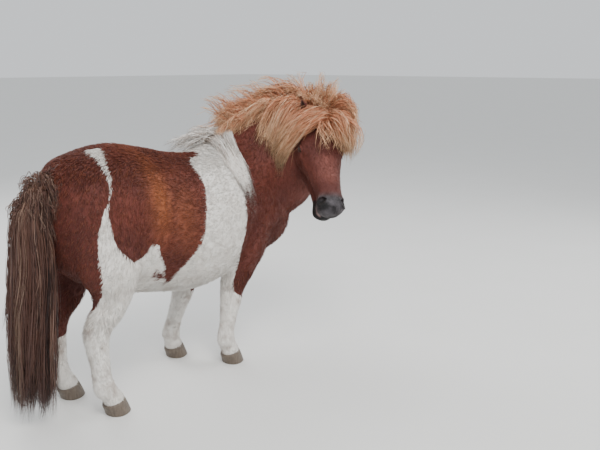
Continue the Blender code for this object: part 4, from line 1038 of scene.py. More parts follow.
rim_finish = Finish("bare_lid", Roughness=0.28)
rim_finish.feed("Base Color", rim_finish.mix(rim_finish.noise(300.0), *RIM_COLOURS))
b = np.linspace(0, 2 * np.pi, RIM_POINTS, endpoint=False)
wide = LID_LENGTH / 2 * RIM_SPREAD * np.cos(b)
tall = LID_HEIGHT / 2 * RIM_SPREAD * np.sign(np.sin(b)) * np.abs(np.sin(b)) ** RIM_SHARPNESS
rise = np.sqrt(np.maximum((EYE_RADIUS + RIM_OFF_BALL) ** 2 - wide**2 - tall**2, 0))
radius = RIM_RADIUS + UPPER_RIM_MORE * (np.sin(b) > 0)
for word, (centre, out, along, above) in eyes.items():
    line = centre + out * rise[:, None] + along * wide[:, None] + above * tall[:, None]
    rim = turned_out(mesh_from("lid_rim_" + word, *sweep(line, radius)))
    piece(rim, [], rim_finish)

# %% [markdown]
# An ear is a rolled cup with soft thick edges. Each ring has an outer arc and an inner arc, and
# the rings grow, then close to a point.
# %% Ears
EAR = (0.030, -0.010, 0.052)
EAR_LEAN, EAR_OPENING = (-0.58, 0.66, 0.45), (0.75, 0.35, 0.55)
EAR_LENGTH, EAR_WIDTH, EAR_WALL = 0.105, 0.030, 0.0045
EAR_SUNK, EAR_CURL, EAR_ARC_POINTS = 0.030, 0.018, 30
EAR_INSIDE = (0.10, 0.062, 0.050)


def ear_frame(hand):
    """Root, and the directions of the ear: lean, opening and across."""
    lean, opening = head_direction(EAR_LEAN, hand), head_direction(EAR_OPENING, hand)
    opening = unit(opening - lean * (opening @ lean))
    root = on_head(EAR[0], EAR[1], EAR[2] * hand) - lean * EAR_SUNK
    return root, lean, opening, np.cross(lean, opening)


def ear_rings(hand, count=44):
    """Outer arc at a radius, inner arc at radius less wall, both round the ear's middle line."""
    root, lean, opening, across = ear_frame(hand)
    t = np.linspace(0, 1, count)
    radius = EAR_WIDTH * (0.62 + 0.9 * t - 1.42 * t**2.6)
    wall = np.minimum(EAR_WALL, radius * 0.45)
    wall = wall + (radius * 0.85 - wall) * smoothstep((0.30 - t) / 0.12)
    arc = np.linspace(math.radians(48), math.radians(312), EAR_ARC_POINTS)
    middle = root + lean * ((EAR_LENGTH + EAR_SUNK) * t)[:, None] + opening * (EAR_CURL * t * t)[:, None]
    spokes = opening * np.cos(arc)[:, None] + across * np.sin(arc)[:, None]
    outer = middle[:, None] + spokes * radius[:, None, None]
    inner = middle[:, None] + spokes[::-1] * (radius - wall)[:, None, None]
    return np.concatenate([outer, inner], 1)


ear_finish = Finish("ear_coat", **FUR)
ear_colour, ear_fine = coat_colour(ear_finish, False)
ear_finish.feed("Base Color", ear_finish.mix(ear_finish.attribute("inside"), ear_colour, EAR_INSIDE))
ear_finish.bump(ear_fine, 0.002)
for hand, word in ((-1, "right"), (1, "left")):
    rings = ear_rings(hand)
    ear = turned_out(mesh_from("cup_" + word, *closed(rings)))
    carry_coat(ear, points_of(ear))
    ring = np.repeat((0, 1), EAR_ARC_POINTS)
    carry(ear, "inside", np.r_[np.tile(ring, len(rings)), 0, 0])
    piece(ear, ["ear_" + word], ear_finish)

# %% [markdown]
# A hoof grows down from the coronet in faint rings. Its wall is a few outlines blended from the
# floor to the coronet, with the growth rings as a small ripple. An outline has its share of the
# height, its reach ahead, its reach back, its half width, and how far it is slid back.
# %% Hooves
HOOF_SLOPE, HOOF_HEIGHT = math.radians(17), 0.050
GROWTH_RINGS, GROWTH_RIPPLE = 38, 0.006
FORE_FOOT = 0.279
CORONET_GAP = 0.0003
HORN_DARK, HORN_PALE, HORN_BAND = (0.060, 0.045, 0.036), (0.200, 0.155, 0.115), (0.10, 0.08, 0.062)
HOOF_RINGS = (
    (0.00, 0.052, 0.036, 0.045, 0.000),
    (0.50, 0.046, 0.036, 0.042, -0.006),
    (0.88, 0.041, 0.036, 0.038, -0.012),
    (1.00, 0.037, 0.034, 0.035, -0.014),
)


def hoof_rings(centre, count=30, around=64):
    """Ovals whose front and back reaches differ, rising to a sloping coronet, rippled by height."""
    rows = np.array(HOOF_RINGS)
    h = np.linspace(0, 1, count)
    reach, back, half, slide = smooth(rows[:, 0], rows[:, 1:], h).T
    a = np.linspace(0, 2 * np.pi, around, endpoint=False)
    ripple = (1 + GROWTH_RIPPLE * np.sin(h * GROWTH_RINGS) * (h > 0.05))[:, None]
    x = np.where(np.cos(a) > 0, reach[:, None], back[:, None]) * np.cos(a) * ripple + slide[:, None]
    y = half[:, None] * np.sin(a) * ripple
    z = h[:, None] * (HOOF_HEIGHT + math.tan(HOOF_SLOPE) * (x + 0.012)) - h[:, None] * CORONET_GAP
    return np.stack([centre[0] + x, centre[1] + y, z], -1)


horn_finish = Finish("horn", Roughness=0.5)
horn_grain = horn_finish.noise(60.0, 3.0, (3, 3, 0.5))
horn_rings = horn_finish.noise(30.0, 2.0, (0.2, 0.2, 9))
horn = horn_finish.mix(patches(horn_grain, 1.6, 0.3), HORN_DARK, HORN_PALE)
horn_finish.feed("Base Color", horn_finish.mix(horn_rings * 0.5, horn, HORN_BAND))
horn_finish.bump(horn_grain + horn_rings, 0.0015)
FOOT = {"hind": HIND_FOOT[0] - LEGS["hind_leg_right"][2], "fore": FORE_FOOT}
for name, (stations, hand, forward) in LEGS.items():
    centre = np.array((FOOT[name[:4]] + forward, stations[-1][2] * hand, 0.0))
    hoof = turned_out(mesh_from(name.replace("leg", "wall"), *closed(hoof_rings(centre))))
    piece(hoof, [name.replace("leg", "hoof")], horn_finish)

# %% [markdown]
# Long hair is thousands of fine locks. Each has a triangular section, runs along a bent line and
# tapers to a point. All the locks of a piece are made as one array: lock, step, corner. Hair that
# would reach too high or too far ahead is pressed together from a start, within some room.
# %% Strands as arrays
rng = np.random.default_rng(14)
TOP_ROOM, FRONT_ROOM = (1.140, 0.045), (0.640, 0.045)
FULL_TURN = 6.28
OFF_SKIN = 0.004
FLATNESS = 0.5
MOST_CUT, STRAY_SHARE, STRAY_MORE = 0.35, 0.07, 5
LOCK_CURL, STRAND_CURL = 0.007, 0.0035


def bend(root, lift, tip, steps):
    """(1-t)^2 root + 2t(1-t) lift + t^2 tip."""
    t = np.linspace(0, 1, steps)[None, :, None]
    return (1 - t) ** 2 * root[:, None] + 2 * t * (1 - t) * lift[:, None] + t**2 * tip[:, None]


def strand_mesh(name, lines, narrow, broad, tones=None):
    """Sections (line + side w, line + flat d, line - side w), and one point at the tip."""
    count, steps, _ = lines.shape
    width = rng.uniform(narrow, broad, count)
    ahead = unit(np.gradient(lines, axis=1))
    side = unit(np.cross(ahead, unit(rng.normal(size=(count, 1, 3)))))
    flat = np.cross(side, ahead)
    t = np.linspace(0, 1, steps)[None, :, None]
    half = width[:, None, None] / 2 * (0.65 + 0.8 * t - 1.2 * t**2.2)
    corners = (lines + side * half, lines + flat * (half * FLATNESS), lines - side * half)
    sections = np.stack(corners, 2)[:, :-1]
    each = 3 * (steps - 1) + 1
    points = np.concatenate([sections.reshape(count, -1, 3), lines[:, -1:]], 1)
    start = (np.arange(count) * each)[:, None, None]
    i, j = np.meshgrid(np.arange(steps - 2), np.arange(3), indexing="ij")
    a, b = i * 3 + j, i * 3 + (j + 1) % 3
    quads = np.stack([a, b, b + 3, a + 3], -1).reshape(1, -1, 4) + start
    last = 3 * (steps - 2)
    cone = [(last + j, last + (j + 1) % 3, each - 1) for j in range(3)]
    triangles = np.array([(2, 1, 0), *cone])[None] + start
    thing = turned_out(mesh_from(name, points.reshape(-1, 3), quads.reshape(-1, 4), triangles.reshape(-1, 3)))
    carry(thing, "reach", np.tile(np.r_[np.repeat(np.linspace(0, 1, steps)[:-1], 3), 1], count))
    carry(thing, "tone", np.repeat(rng.uniform(0, 1, count) if tones is None else tones, each))
    return thing


def kept_off(lines, by, free=2):
    """Moves the steps past the first few to at least a distance outside the skin."""
    count, steps, _ = lines.shape
    cloud = mesh_from("cloud", lines[:, free:].reshape(-1, 3))
    wrap = cloud.modifiers.new("outside", "SHRINKWRAP")
    wrap.target = skin
    wrap.wrap_method = "NEAREST_SURFACEPOINT"
    wrap.wrap_mode = "OUTSIDE"
    wrap.offset = by
    moved = points_of(applied(cloud)).reshape(count, steps - free, 3)
    bpy.data.objects.remove(cloud)
    return np.concatenate([lines[:, :free], moved], 1)


def held_in(values, start, room):
    """Values past the start are pressed together, so that they never go past start plus room."""
    return np.where(values > start, start + room * np.tanh((values - start) / room), values)


def clumped(root, lift, tip, many, root_spread, tip_spread, steps=8, off=OFF_SKIN, curl=1.0):
    """Copies of each guide, scattered at root, lift and tip, some cut short, then waved and curled."""
    count = len(root) * many
    roots = np.repeat(root, many, 0) + rng.normal(size=(count, 3)) * root_spread
    lifts = np.repeat(lift, many, 0) + rng.normal(size=(count, 3)) * (root_spread + tip_spread) * 0.7
    tips = np.repeat(tip, many, 0) + rng.normal(size=(count, 3)) * tip_spread
    short = rng.uniform(0.0, MOST_CUT, count) ** 1.5
    tips = tips + (lifts - tips) * short[:, None]
    lines = bend(roots, lifts, tips, steps)
    t = np.linspace(0, 1, steps)[None, :, None]
    phase = np.repeat(rng.uniform(0, FULL_TURN, (len(root), 3)), many, 0)[:, None]
    own = rng.uniform(0, FULL_TURN, (count, 1, 3))
    stray = 1 + STRAY_MORE * (rng.uniform(0, 1, (count, 1, 1)) < STRAY_SHARE)
    waves = LOCK_CURL * np.sin(t * 6 + phase) + STRAND_CURL * stray * np.sin(t * 9 + own)
    lines = lines + t * curl * waves
    lines[..., 2] = held_in(lines[..., 2], *TOP_ROOM)
    lines[..., 0] = held_in(lines[..., 0], *FRONT_ROOM)
    return kept_off(lines, off)


# %% [markdown]
# Hair finishes read how far along the strand a place is, and each strand's own tone.
# %% Finish of the long hair
def hair_finish(name, root, middle, tip, dark, light, rough=0.5):
    """Root to tip in three colours; a strand's tone draws it towards the light or the dark."""
    finish = Finish(name, Roughness=rough)
    reach, tone = finish.attribute("reach"), finish.attribute("tone")
    colour = finish.mix(reach.ramp(0.0, 0.35), root, middle)
    colour = finish.mix(reach.ramp(0.45, 1.0), colour, tip)
    colour = finish.mix((tone - 0.62).clamp() * 1.8, colour, light)
    colour = finish.mix((0.42 - tone).clamp() * 2.1, colour, dark)
    finish.feed("Base Color", colour)
    finish.bump(finish.noise(900.0, 1.0), 0.0006)
    return finish


GINGER_HAIR = hair_finish(
    "ginger_hair", (0.400, 0.125, 0.055), (0.740, 0.300, 0.150), (0.880, 0.560, 0.320), (0.230, 0.070, 0.034),
    (0.950, 0.740, 0.500))
PALE_HAIR = hair_finish(
    "pale_hair", (0.600, 0.500, 0.420), (0.860, 0.820, 0.770), (0.900, 0.870, 0.820), (0.300, 0.200, 0.150),
    (0.920, 0.900, 0.870))
TAIL_HAIR = hair_finish(
    "mixed_hair", (0.200, 0.094, 0.058), (0.125, 0.056, 0.040), (0.100, 0.044, 0.032), (0.010, 0.007, 0.008),
    (0.480, 0.340, 0.250))


def crest_guides(count, start, end):
    """Places on the crest, and the neck's own directions and sizes there."""
    at = start + (end - start) * (np.arange(count) + rng.uniform(0, 1, count)) / count
    v, ahead, up, side = neck_stations(at)
    return at, v[:, :3] + up * v[:, 3:4], ahead, up, side, v[:, 5:6]


def blown_back(at, least, most):
    """How far a lock is blown back: less next to the white mane."""
    return (rng.uniform(least, most, len(at)) * np.clip(0.3 + (at - 0.42) * 3, 0, 1))[:, None]


def near_poll(at):
    """Rises from 0 half way up the neck to 1 at the poll."""
    return np.clip((at - 0.55) / 0.35, 0, 1)[:, None]


def between(least, most, count):
    """A column of random numbers."""
    return rng.uniform(least, most, count)[:, None]


UP = np.array((0.0, 0.0, 1.0))

# %% [markdown]
# The ginger mane stands up along the crest and is blown back towards the withers. It falls on the
# far side, and near the poll on the near side too. A few wisps stand well above the rest. Each
# group has its guides, its stretch of the crest from 0 at the withers to 1 at the poll, its shape,
# and the strands in each guide.
# %% Ginger mane
def mane_group(count, start, end, shape):
    """Guides along a stretch of the crest; shape gives root, lift and tip from the directions."""
    at, crest, ahead, up, side, wide = crest_guides(count, start, end)
    return shape(count, at, crest, ahead, up, side, wide)


def raised(n, at, crest, ahead, up, side, wide):
    """Up from the crest, then back."""
    high = between(0.040, 0.095, n) + 0.030 * near_poll(at)
    sway = side * between(-0.07, 0.05, n)
    return (crest + side * between(-0.014, 0.014, n), crest + up * high,
            crest + up * high * 0.8 - ahead * blown_back(at, 0.07, 0.17) + sway)


def wisps(n, at, crest, ahead, up, side, wide):
    """Far up, and bent over at the end."""
    high = between(0.10, 0.160, n)
    return (crest, crest + up * high * 0.9,
            crest + up * high - ahead * blown_back(at, 0.02, 0.15) + side * between(-0.07, 0.07, n))


def streamers(n, at, crest, ahead, up, side, wide):
    """Long thin ends that the wind carries back over the withers."""
    lift = crest + up * between(0.05, 0.08, n) - ahead * 0.09
    blown = crest + up * between(0.02, 0.09, n) - ahead * between(0.17, 0.25, n)
    return crest, lift, blown + side * between(-0.04, 0.04, n)


def far_fall(n, at, crest, ahead, up, side, wide):
    """Out over the left side and down it."""
    lift = crest + up * (0.070 + 0.050 * near_poll(at)) + side * between(0.06, 0.10, n)
    fall = crest + side * (wide + 0.03) - UP * between(0.10, 0.20, n)
    return crest + side * 0.006, lift, fall - ahead * blown_back(at, 0.0, 0.06)


def near_sweep(n, at, crest, ahead, up, side, wide):
    """Over the right side, and back along the neck."""
    lift = crest + up * between(0.02, 0.06, n) - side * between(0.04, 0.08, n)
    swept = crest - side * between(0.055, 0.100, n) - up * between(-0.03, 0.045, n)
    return crest - side * 0.006, lift, swept - ahead * between(0.06, 0.15, n)


def near_fall(n, at, crest, ahead, up, side, wide):
    """Beside the poll, down over the right side of the neck."""
    lift = crest + up * between(0.05, 0.10, n) - side * between(0.06, 0.11, n)
    fall = crest - side * (wide + 0.05) - UP * between(0.12, 0.24, n)
    return crest - side * 0.006, lift, fall - ahead * between(0.05, 0.13, n)


MANE_PLAN = (
    (95, 0.43, 0.99, raised, 17), (52, 0.44, 0.98, wisps, 5), (14, 0.43, 0.56, streamers, 5),
    (70, 0.42, 0.99, far_fall, 16), (80, 0.43, 0.95, near_sweep, 16), (30, 0.86, 0.99, near_fall, 16),
)
FINE_STRAND, COARSE_STRAND = (0.0016, 0.0034), (0.0020, 0.0034)

lines = [clumped(*mane_group(*group), many, 0.0080, 0.009) for *group, many in MANE_PLAN]
mane = strand_mesh("ginger_mane", np.concatenate(lines), *FINE_STRAND)
piece(mane, ["mane_crest"], GINGER_HAIR)

# %% [markdown]
# Over the withers the mane is white. Most falls down the right shoulder, and some is blown
# back along the spine.
# %% White mane
def shoulder_fall(n, at, crest, ahead, up, side, wide):
    """Over the right side and down the shoulder, longest half way along."""
    fall = 0.17 + 0.10 * np.sin((at - 0.10) / 0.3 * np.pi)[:, None] + between(-0.03, 0.03, n)
    return (crest + side * between(-0.010, 0.010, n), crest + up * 0.035 - side * 0.085,
            crest - side * (wide + 0.005) - UP * fall + ahead * between(-0.01, 0.03, n))


def along_spine(n, at, crest, ahead, up, side, wide):
    """Low, and back over the spine."""
    blown = crest + up * between(0.01, 0.06, n) - ahead * between(0.09, 0.18, n)
    return crest, crest + up * 0.050 - ahead * 0.020, blown + side * between(-0.02, 0.07, n)


groups = [mane_group(55, 0.11, 0.41, shoulder_fall), mane_group(26, 0.09, 0.39, along_spine)]
lines = [clumped(*group, 18, 0.0070, 0.006) for group in groups]
pale = strand_mesh("white_mane", np.concatenate(lines), *COARSE_STRAND)
piece(pale, ["mane_withers"], PALE_HAIR)

# %% [markdown]
# The forelock is bushy at the crown. From there a broad swath sweeps over the right cheek, the
# rest falls past the left eye, and a few thin strands cross the open brow. Each part has three
# places on the head that its hair goes through, each with its scatter.
# %% Forelock
def through(root, middle, tip):
    """The lift that makes the bend pass through its middle: 2 middle - (root + tip) / 2."""
    return root, 2 * middle - (root + tip) / 2, tip


def on_head_near(place, spread, count):
    """Places scattered about one on the head."""
    offset = rng.uniform(-1, 1, (count, 3)) * np.array(spread)
    return on_head(*(np.array(place) + offset).T)


SWATH = (
    ((0.015, 0.030, 0.012), (0.028, 0.012, 0.030)),
    ((0.050, 0.006, -0.095), (0.030, 0.034, 0.022)),
    ((0.085, -0.200, -0.145), (0.060, 0.055, 0.018)),
)
FAR_FALL = (
    ((0.020, 0.025, 0.020), (0.020, 0.012, 0.025)),
    ((0.075, 0.055, 0.066), (0.030, 0.045, 0.034)),
    ((0.150, -0.020, 0.108), (0.035, 0.035, 0.024)),
)
EAR_COVER = (
    ((-0.010, 0.015, 0.040), (0.020, 0.010, 0.030)),
    ((-0.015, 0.085, 0.078), (0.030, 0.020, 0.022)),
    ((0.075, 0.040, 0.108), (0.035, 0.035, 0.018)),
)
BROW_WISPS = (
    ((0.025, 0.020, 0.000), (0.010, 0.008, 0.025)),
    ((0.085, 0.050, 0.000), (0.020, 0.018, 0.050)),
    ((0.165, 0.020, 0.000), (0.030, 0.014, 0.075)),
)
CROWN = ((-0.012, 0.004, 0.0), (0.030, 0.010, 0.050))
CROWN_GUIDES = 90

groups = []
for part, guides, many in ((SWATH, 105, 17), (FAR_FALL, 60, 17), (EAR_COVER, 30, 17), (BROW_WISPS, 18, 5)):
    places = [on_head_near(place, spread, guides) for place, spread in part]
    groups.append((*through(*places), many))
root = on_head_near(*CROWN, CROWN_GUIDES)
fan = unit(rng.normal(size=(CROWN_GUIDES, 3)) * (1, 1, 0.25))
lift = root + UP * between(0.06, 0.11, CROWN_GUIDES) + fan * 0.02
tip = root + UP * between(0.03, 0.095, CROWN_GUIDES) + fan * between(0.03, 0.085, CROWN_GUIDES)
groups.append((root, lift, tip, 17))
lines = [clumped(*group, 0.0075, 0.008) for group in groups]
front_hair = strand_mesh("forelock_hair", np.concatenate(lines), *FINE_STRAND)
piece(front_hair, ["forelock"], GINGER_HAIR)

# %% [markdown]
# The tail hangs from its dock to just over the floor. Its locks leave the middle line at several
# heights, spread to the tail's round, and end ragged.
# %% Tail
TAIL_LINE = (
    (-0.455, 0.000, 0.795), (-0.500, 0.000, 0.825), (-0.548, 0.002, 0.745), (-0.568, 0.006, 0.580),
    (-0.580, 0.012, 0.400), (-0.592, 0.020, 0.210), (-0.600, 0.026, 0.030),
)
TAIL_GUIDES, TAIL_MANY, TAIL_STEPS = 230, 16, 10
TAIL_ROOTS = (0.02, 0.06, 0.12, 0.20, 0.30, 0.40)
LONG_SHARE, LONG_ENDS, SHORT_ENDS = 0.6, (0.90, 1.0), (0.62, 0.9)
FLOOR_CLEARANCE = 0.012
TAIL_STRAND = (0.0020, 0.0036)


def tail_frame(t):
    """The tail's middle line at places 0 to 1, its left and its back."""
    rows = np.array(TAIL_LINE)
    along = arc_length(rows)
    along /= along[-1]
    line = smooth(along, rows, t)
    down = unit(smooth(along, rows, np.minimum(t + 0.02, 1)) - smooth(along, rows, np.maximum(t - 0.02, 0)))
    side = unit(np.cross(np.cross(down, [0.0, 1.0, 0.0]), down)) * -1
    return line, side, unit(np.cross(side, down))


def tail_guides():
    """Start and end along the middle line, angle round it and reach, for each lock."""
    start = rng.choice(TAIL_ROOTS, TAIL_GUIDES) + rng.uniform(-0.02, 0.03, TAIL_GUIDES)
    long = rng.uniform(0, 1, TAIL_GUIDES) < LONG_SHARE
    end = np.where(long, rng.uniform(*LONG_ENDS, TAIL_GUIDES), rng.uniform(*SHORT_ENDS, TAIL_GUIDES))
    angle = rng.uniform(0, 2 * np.pi, TAIL_GUIDES)
    reach = np.sqrt(rng.uniform(0.15, 1.05, TAIL_GUIDES)) * np.clip(1.12 - start, 0.5, 1.05)
    return start, end, angle, reach


start, end, angle, reach = (np.repeat(values, TAIL_MANY) for values in tail_guides())
strands = len(start)
end = np.minimum(end + rng.uniform(-0.06, 0.02, strands), 1.0)
u = np.linspace(0, 1, TAIL_STEPS)[None, :]
at = start[:, None] + (end - start)[:, None] * u
line, side, back = (values.reshape(strands, TAIL_STEPS, 3) for values in tail_frame(at.ravel()))
half = 0.046 + 0.056 * np.sin(np.clip(at * 1.4, 0, 1) * np.pi / 2)
out = reach[:, None] * (0.45 + 0.55 * smoothstep(u / 0.20)) * (1 - 0.10 * u)
turn = angle[:, None] + 0.16 * np.sin(u * 5 + angle[:, None]) + rng.normal(size=(strands, 1)) * 0.10
lines = line + side * (half * out * np.cos(turn))[..., None]
lines = lines + back * (half * 0.72 * out * np.sin(turn))[..., None]
lines = lines + rng.normal(size=(strands, 1, 3)) * 0.004
lock_wave = np.repeat(rng.uniform(0, FULL_TURN, (TAIL_GUIDES, 1, 3)), TAIL_MANY, 0)
own_wave = rng.uniform(0, FULL_TURN, (strands, 1, 3))
u = u[..., None]
lines = lines + u * (0.011 * np.sin(u * 8 + lock_wave) + 0.004 * np.sin(u * 15 + own_wave))
lines[..., 2] = np.maximum(lines[..., 2], FLOOR_CLEARANCE * rng.uniform(0.6, 2.5, (strands, 1)))
# One side of the tail is painted darker as shade: a strand's tone falls the nearer it lies to that side.
shaded = 0.5 + 0.5 * np.cos(turn[:, 0] - 0.5)
lock_tones = np.repeat(rng.uniform(0, 1, TAIL_GUIDES), TAIL_MANY) * 0.62
tones = lock_tones + rng.uniform(0, 0.42, strands) + 0.11 - 0.32 * shaded
print("tail", strands, "strands")

# %% [markdown]
# The dock is hidden in short woolly hair that stands out on all sides before it falls. It is a
# piece of its own beside the tail's hair, so that each stays light enough to edit.
# %% Woolly dock
DOCK_GUIDES, DOCK_MANY = 100, 16
DOCK_RADIUS = 0.020

place = rng.uniform(0.0, 0.20, DOCK_GUIDES)
line, side, back = tail_frame(place)
angle = rng.uniform(0, 2 * np.pi, DOCK_GUIDES)[:, None]
spoke = side * np.cos(angle) + back * np.sin(angle)
root = line + spoke * DOCK_RADIUS
lift = root + spoke * between(0.030, 0.060, DOCK_GUIDES) + UP * 0.010
tip = root + spoke * between(0.020, 0.055, DOCK_GUIDES) - UP * between(0.03, 0.10, DOCK_GUIDES)
dock = clumped(root, lift, tip, DOCK_MANY, 0.010, 0.010, TAIL_STEPS, 0.002, 0.35)
dock_tones = rng.uniform(0.10, 0.85, len(dock))
piece(strand_mesh("tail_hair", lines, *TAIL_STRAND, tones), ["tail"], TAIL_HAIR)
piece(strand_mesh("dock_hair", dock, *TAIL_STRAND, dock_tones), [], TAIL_HAIR)

# %% [markdown]
# The winter coat lies back along the trunk and down the legs. The lie of the hair is a field of
# directions over the skin, and tufts stand in it wherever the coat breaks the form.
# %% The lie of the coat
BARREL_LIE, THIGH_LIE = np.array((-1.0, 0.0, -0.10)), np.array((-0.45, 0.0, -1.0))
LEG_LIE, BREAST_LIE = np.array((-0.10, 0.0, -1.0)), np.array((-0.35, 0.0, -0.85))


def lie(points, normals):
    """Back and down on the trunk, down on the legs and chest, along the face on the head."""
    x, y, z = points.T
    head = share_head(points)[:, None]
    leg = smoothstep((0.46 - z) / 0.10)[:, None]
    chest = smoothstep((x - 0.26) / 0.12)[:, None]
    thigh = smoothstep((-0.20 - x) / 0.14)[:, None]
    barrel = BARREL_LIE * (1 - thigh) + THIGH_LIE * thigh
    field = barrel * (1 - leg) * (1 - chest) + LEG_LIE * leg + BREAST_LIE * chest * (1 - leg)
    field = field * (1 - head) + FACE * head
    swirl = 0.22 * np.sin(x * 13 + z * 9) + 0.12 * np.sin(z * 41 - x * 27 + y * 19)
    field = field - normals * (field * normals).sum(1, keepdims=True)
    field = unit(field)
    return unit(field + np.cross(normals, field) * (swirl * (1 - 0.6 * head[:, 0]))[:, None])


def roots_on(thing, density, count):
    """Random places on the triangles, as many as area times density asks for."""
    mesh = thing.data
    mesh.calc_loop_triangles()
    corners = np.empty(len(mesh.loop_triangles) * 3, np.int32)
    mesh.loop_triangles.foreach_get("vertices", corners)
    corners = corners.reshape(-1, 3)
    points, normals = points_of(thing), normals_of(thing)
    a, b, c = (points[corners[:, k]] for k in range(3))
    area = np.linalg.norm(np.cross(b - a, c - a), axis=1) / 2
    share = area * density((a + b + c) / 3)
    chosen = rng.choice(len(corners), count, p=share / share.sum())
    p, q = rng.uniform(0, 1, count), rng.uniform(0, 1, count)
    p, q = np.where(p + q > 1, 1 - p, p), np.where(p + q > 1, 1 - q, q)
    weights = np.stack([1 - p - q, p, q], 1)[..., None]
    place = (points[corners[chosen]] * weights).sum(1)
    return place, unit((normals[corners[chosen]] * weights).sum(1))


BODY_HAIR, LEG_HAIR_LESS, BACK_HAIR_MORE, BELLY_HAIR_MORE = 0.017, 0.006, 0.010, 0.006
FOOT_HAIR, CHEEK_HAIR, MUZZLE_HAIR_LESS = 0.011, 0.010, 0.006


def tuft_length(points):
    """Long on the back and under the belly, short on the legs, shortest on the face and feet."""
    x, y, z = points.T
    head = share_head(points)
    length = BODY_HAIR - LEG_HAIR_LESS * smoothstep((0.40 - z) / 0.15)
    length = length + BACK_HAIR_MORE * bell(z, 0.88, 0.05) * (x < 0.2)
    length = length + BELLY_HAIR_MORE * bell(z, 0.36, 0.04)
    length = np.where(z < 0.12, FOOT_HAIR, length)
    s = (points - POLL) @ FACE
    face = CHEEK_HAIR - MUZZLE_HAIR_LESS * smoothstep((s - 0.28) / 0.08)
    return length * (1 - head) + head * face


TUFT_CORNERS = 7
TUFT_TONES = (-0.2, -0.2, -0.2, 0.0, 0.0, 0.0, 0.25)
PATCH_CORNERS = ((0, 0), (0.5, 0.1), (1, 0), (0.1, 0.5), (0.5, 0.6), (0.9, 0.5), (0.5, 1))
BAKE_PATCH = 0.003
TUFT_HALF, TUFT_DRIFT, ROOT_SUNK = 0.048, 0.16, 0.0015


def tufts(name, place, normals, unwrap):
    """Slivers: a triangle at the root, one half way, and a point; patches of the skin's unwrap."""
    count = len(place)
    field = lie(place, normals)
    side = np.cross(normals, field)
    size = tuft_length(place) * rng.uniform(0.7, 1.35, count)
    half = (size * TUFT_HALF * rng.uniform(0.8, 1.3, count))[:, None]
    lift = rng.uniform(0.08, 0.30, count)[:, None]
    size = size[:, None]
    drift = side * size * rng.normal(size=(count, 1)) * TUFT_DRIFT
    root = place - normals * ROOT_SUNK
    middle = place + field * size * 0.50 + normals * size * lift * 0.75 + drift * 0.4
    tip = place + field * size + normals * size * lift * 0.85 + drift
    first = [root + side * half, root + normals * half * 0.8, root - side * half]
    second = [middle + side * half * 0.8, middle + normals * half * 0.6, middle - side * half * 0.8]
    points = np.stack([*first, *second, tip], 1)
    walls = np.array([(0, 1, 4, 3), (1, 2, 5, 4), (2, 0, 3, 5)])
    ends = np.array([(2, 1, 0), (3, 4, 6), (4, 5, 6), (5, 3, 6)])
    start = (np.arange(count) * TUFT_CORNERS)[:, None, None]
    quads, triangles = (walls[None] + start).reshape(-1, 4), (ends[None] + start).reshape(-1, 3)
    thing = turned_out(mesh_from(name, points.reshape(-1, 3), quads, triangles))
    carry_coat(thing, np.repeat(place, TUFT_CORNERS, 0))
    own_tones = np.repeat(rng.uniform(0, 1, count), TUFT_CORNERS)
    carry(thing, "tone", np.clip(own_tones + np.tile(TUFT_TONES, count), 0, 1))
    flat = unwrap(place)[:, None] * (1 - BAKE_PATCH) + np.array(PATCH_CORNERS)[None] * BAKE_PATCH
    owner = np.empty(len(thing.data.loops), np.int32)
    thing.data.loops.foreach_get("vertex_index", owner)
    layer = thing.data.uv_layers.new(name="OFBake")
    layer.uv.foreach_set("vector", flat.reshape(-1, 2)[owner].astype(np.float32).ravel())
    return thing


def round_unwrap(axis, up, across, middle, low, high):
    """u is the angle round an axis, v the place along it, both 0 to 1."""
    def unwrap(points):
        away = points - np.array(middle)
        angle = np.arctan2(away @ across, away @ up)
        return np.stack([angle / (2 * np.pi) + 0.5, np.clip((away @ axis - low) / (high - low), 0, 1)], 1)
    return unwrap


def leg_unwrap(points):
    """Four columns, one for each leg: the angle round the leg, and the height."""
    x, y, z = points.T
    fore, left = x > -0.05, y > 0
    angle = np.arctan2(y - np.where(left, 0.115, -0.115), x - np.where(fore, 0.24, -0.39))
    within = np.clip(angle / (2 * np.pi) + 0.5, 0, 0.98)
    return np.stack([(fore * 2 + left + within) / 4, np.clip(z / 0.6, 0, 1)], 1)


# %% [markdown]
# The coat is split by region, so that each piece stays light enough to edit. Bare places carry no
# tufts: the eyes, the nostrils, the lips and the coronets.
# %% Tufts of the coat
TUFTS, MOST_TUFTS = 104000, 19500
BARE_EYE, BARE_NOSTRIL, BARE_MUZZLE, BARE_FOOT = 0.027, 0.024, 0.385, 0.052


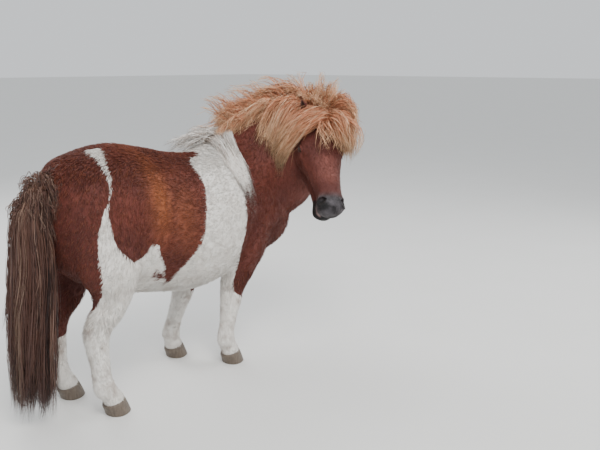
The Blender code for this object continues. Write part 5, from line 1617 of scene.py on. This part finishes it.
def thickness(points):
    """How densely tufts stand: more where they break the outline, none on bare places."""
    x, _, z = points.T
    head = share_head(points)
    dense = 1.0 + 1.2 * bell(z, 0.90, 0.06) * (x < 0.25)
    dense = dense + 0.8 * smoothstep((0.45 - z) / 0.1) + 0.8 * head
    bare = [(centre, BARE_EYE) for centre, *_ in eyes.values()]
    for place, radius in bare + [(place, BARE_NOSTRIL) for place in nostril_places]:
        dense = dense * (np.linalg.norm(points - place, axis=1) > radius)
    dense = np.where((head > 0.5) & (head_local(points)[0] > BARE_MUZZLE), 0.0, dense)
    return dense * (z > BARE_FOOT)


tuft_finish = Finish("coat_tufts", **FUR)
tuft_colour, _ = coat_colour(tuft_finish, True)
tuft_finish.feed("Base Color", tuft_colour)

place, normals = roots_on(skin, thickness, TUFTS)
x, y, z = place.T
head = share_head(place) > 0.5
leg = (z < 0.46) & (np.abs(y) > 0.045) & ~head & ((x > 0.10) | (x < -0.20))
front = (x > 0.27) & ~head & ~leg
loin = (x > -0.12) & ~head & ~leg & ~front
rump = ~(head | leg | front | loin)
near = y < 0
X, Y, Z = np.eye(3)
rump_unwrap = round_unwrap(X, Z, Y, (0, 0, 0.66), -0.55, -0.10)
barrel_unwrap = round_unwrap(X, Z, Y, (0, 0, 0.62), -0.13, 0.29)
REGIONS = {
    "coat_rump_right": (rump & near, rump_unwrap),
    "coat_rump_left": (rump & ~near, rump_unwrap),
    "coat_barrel_right": (loin & near, barrel_unwrap),
    "coat_barrel_left": (loin & ~near, barrel_unwrap),
    "coat_neck": (front, round_unwrap(Z, X, Y, (0.40, -0.05, 0.40), 0.0, 0.75)),
    "coat_head": (head, round_unwrap(FACE, BROW, LEFT, on_head(0, -0.09), -0.06, 0.45)),
    "coat_legs": (leg, leg_unwrap),
}
for name, (chosen, unwrap) in REGIONS.items():
    chosen = np.flatnonzero(chosen)[:MOST_TUFTS]
    piece(tufts(name, place[chosen], normals[chosen], unwrap), [], tuft_finish)

# %% [markdown]
# The skin itself takes its finish last, because the hair and the tufts were measured from it.
# %% Skin in place
piece(skin, BODY_NODES, skin_finish)
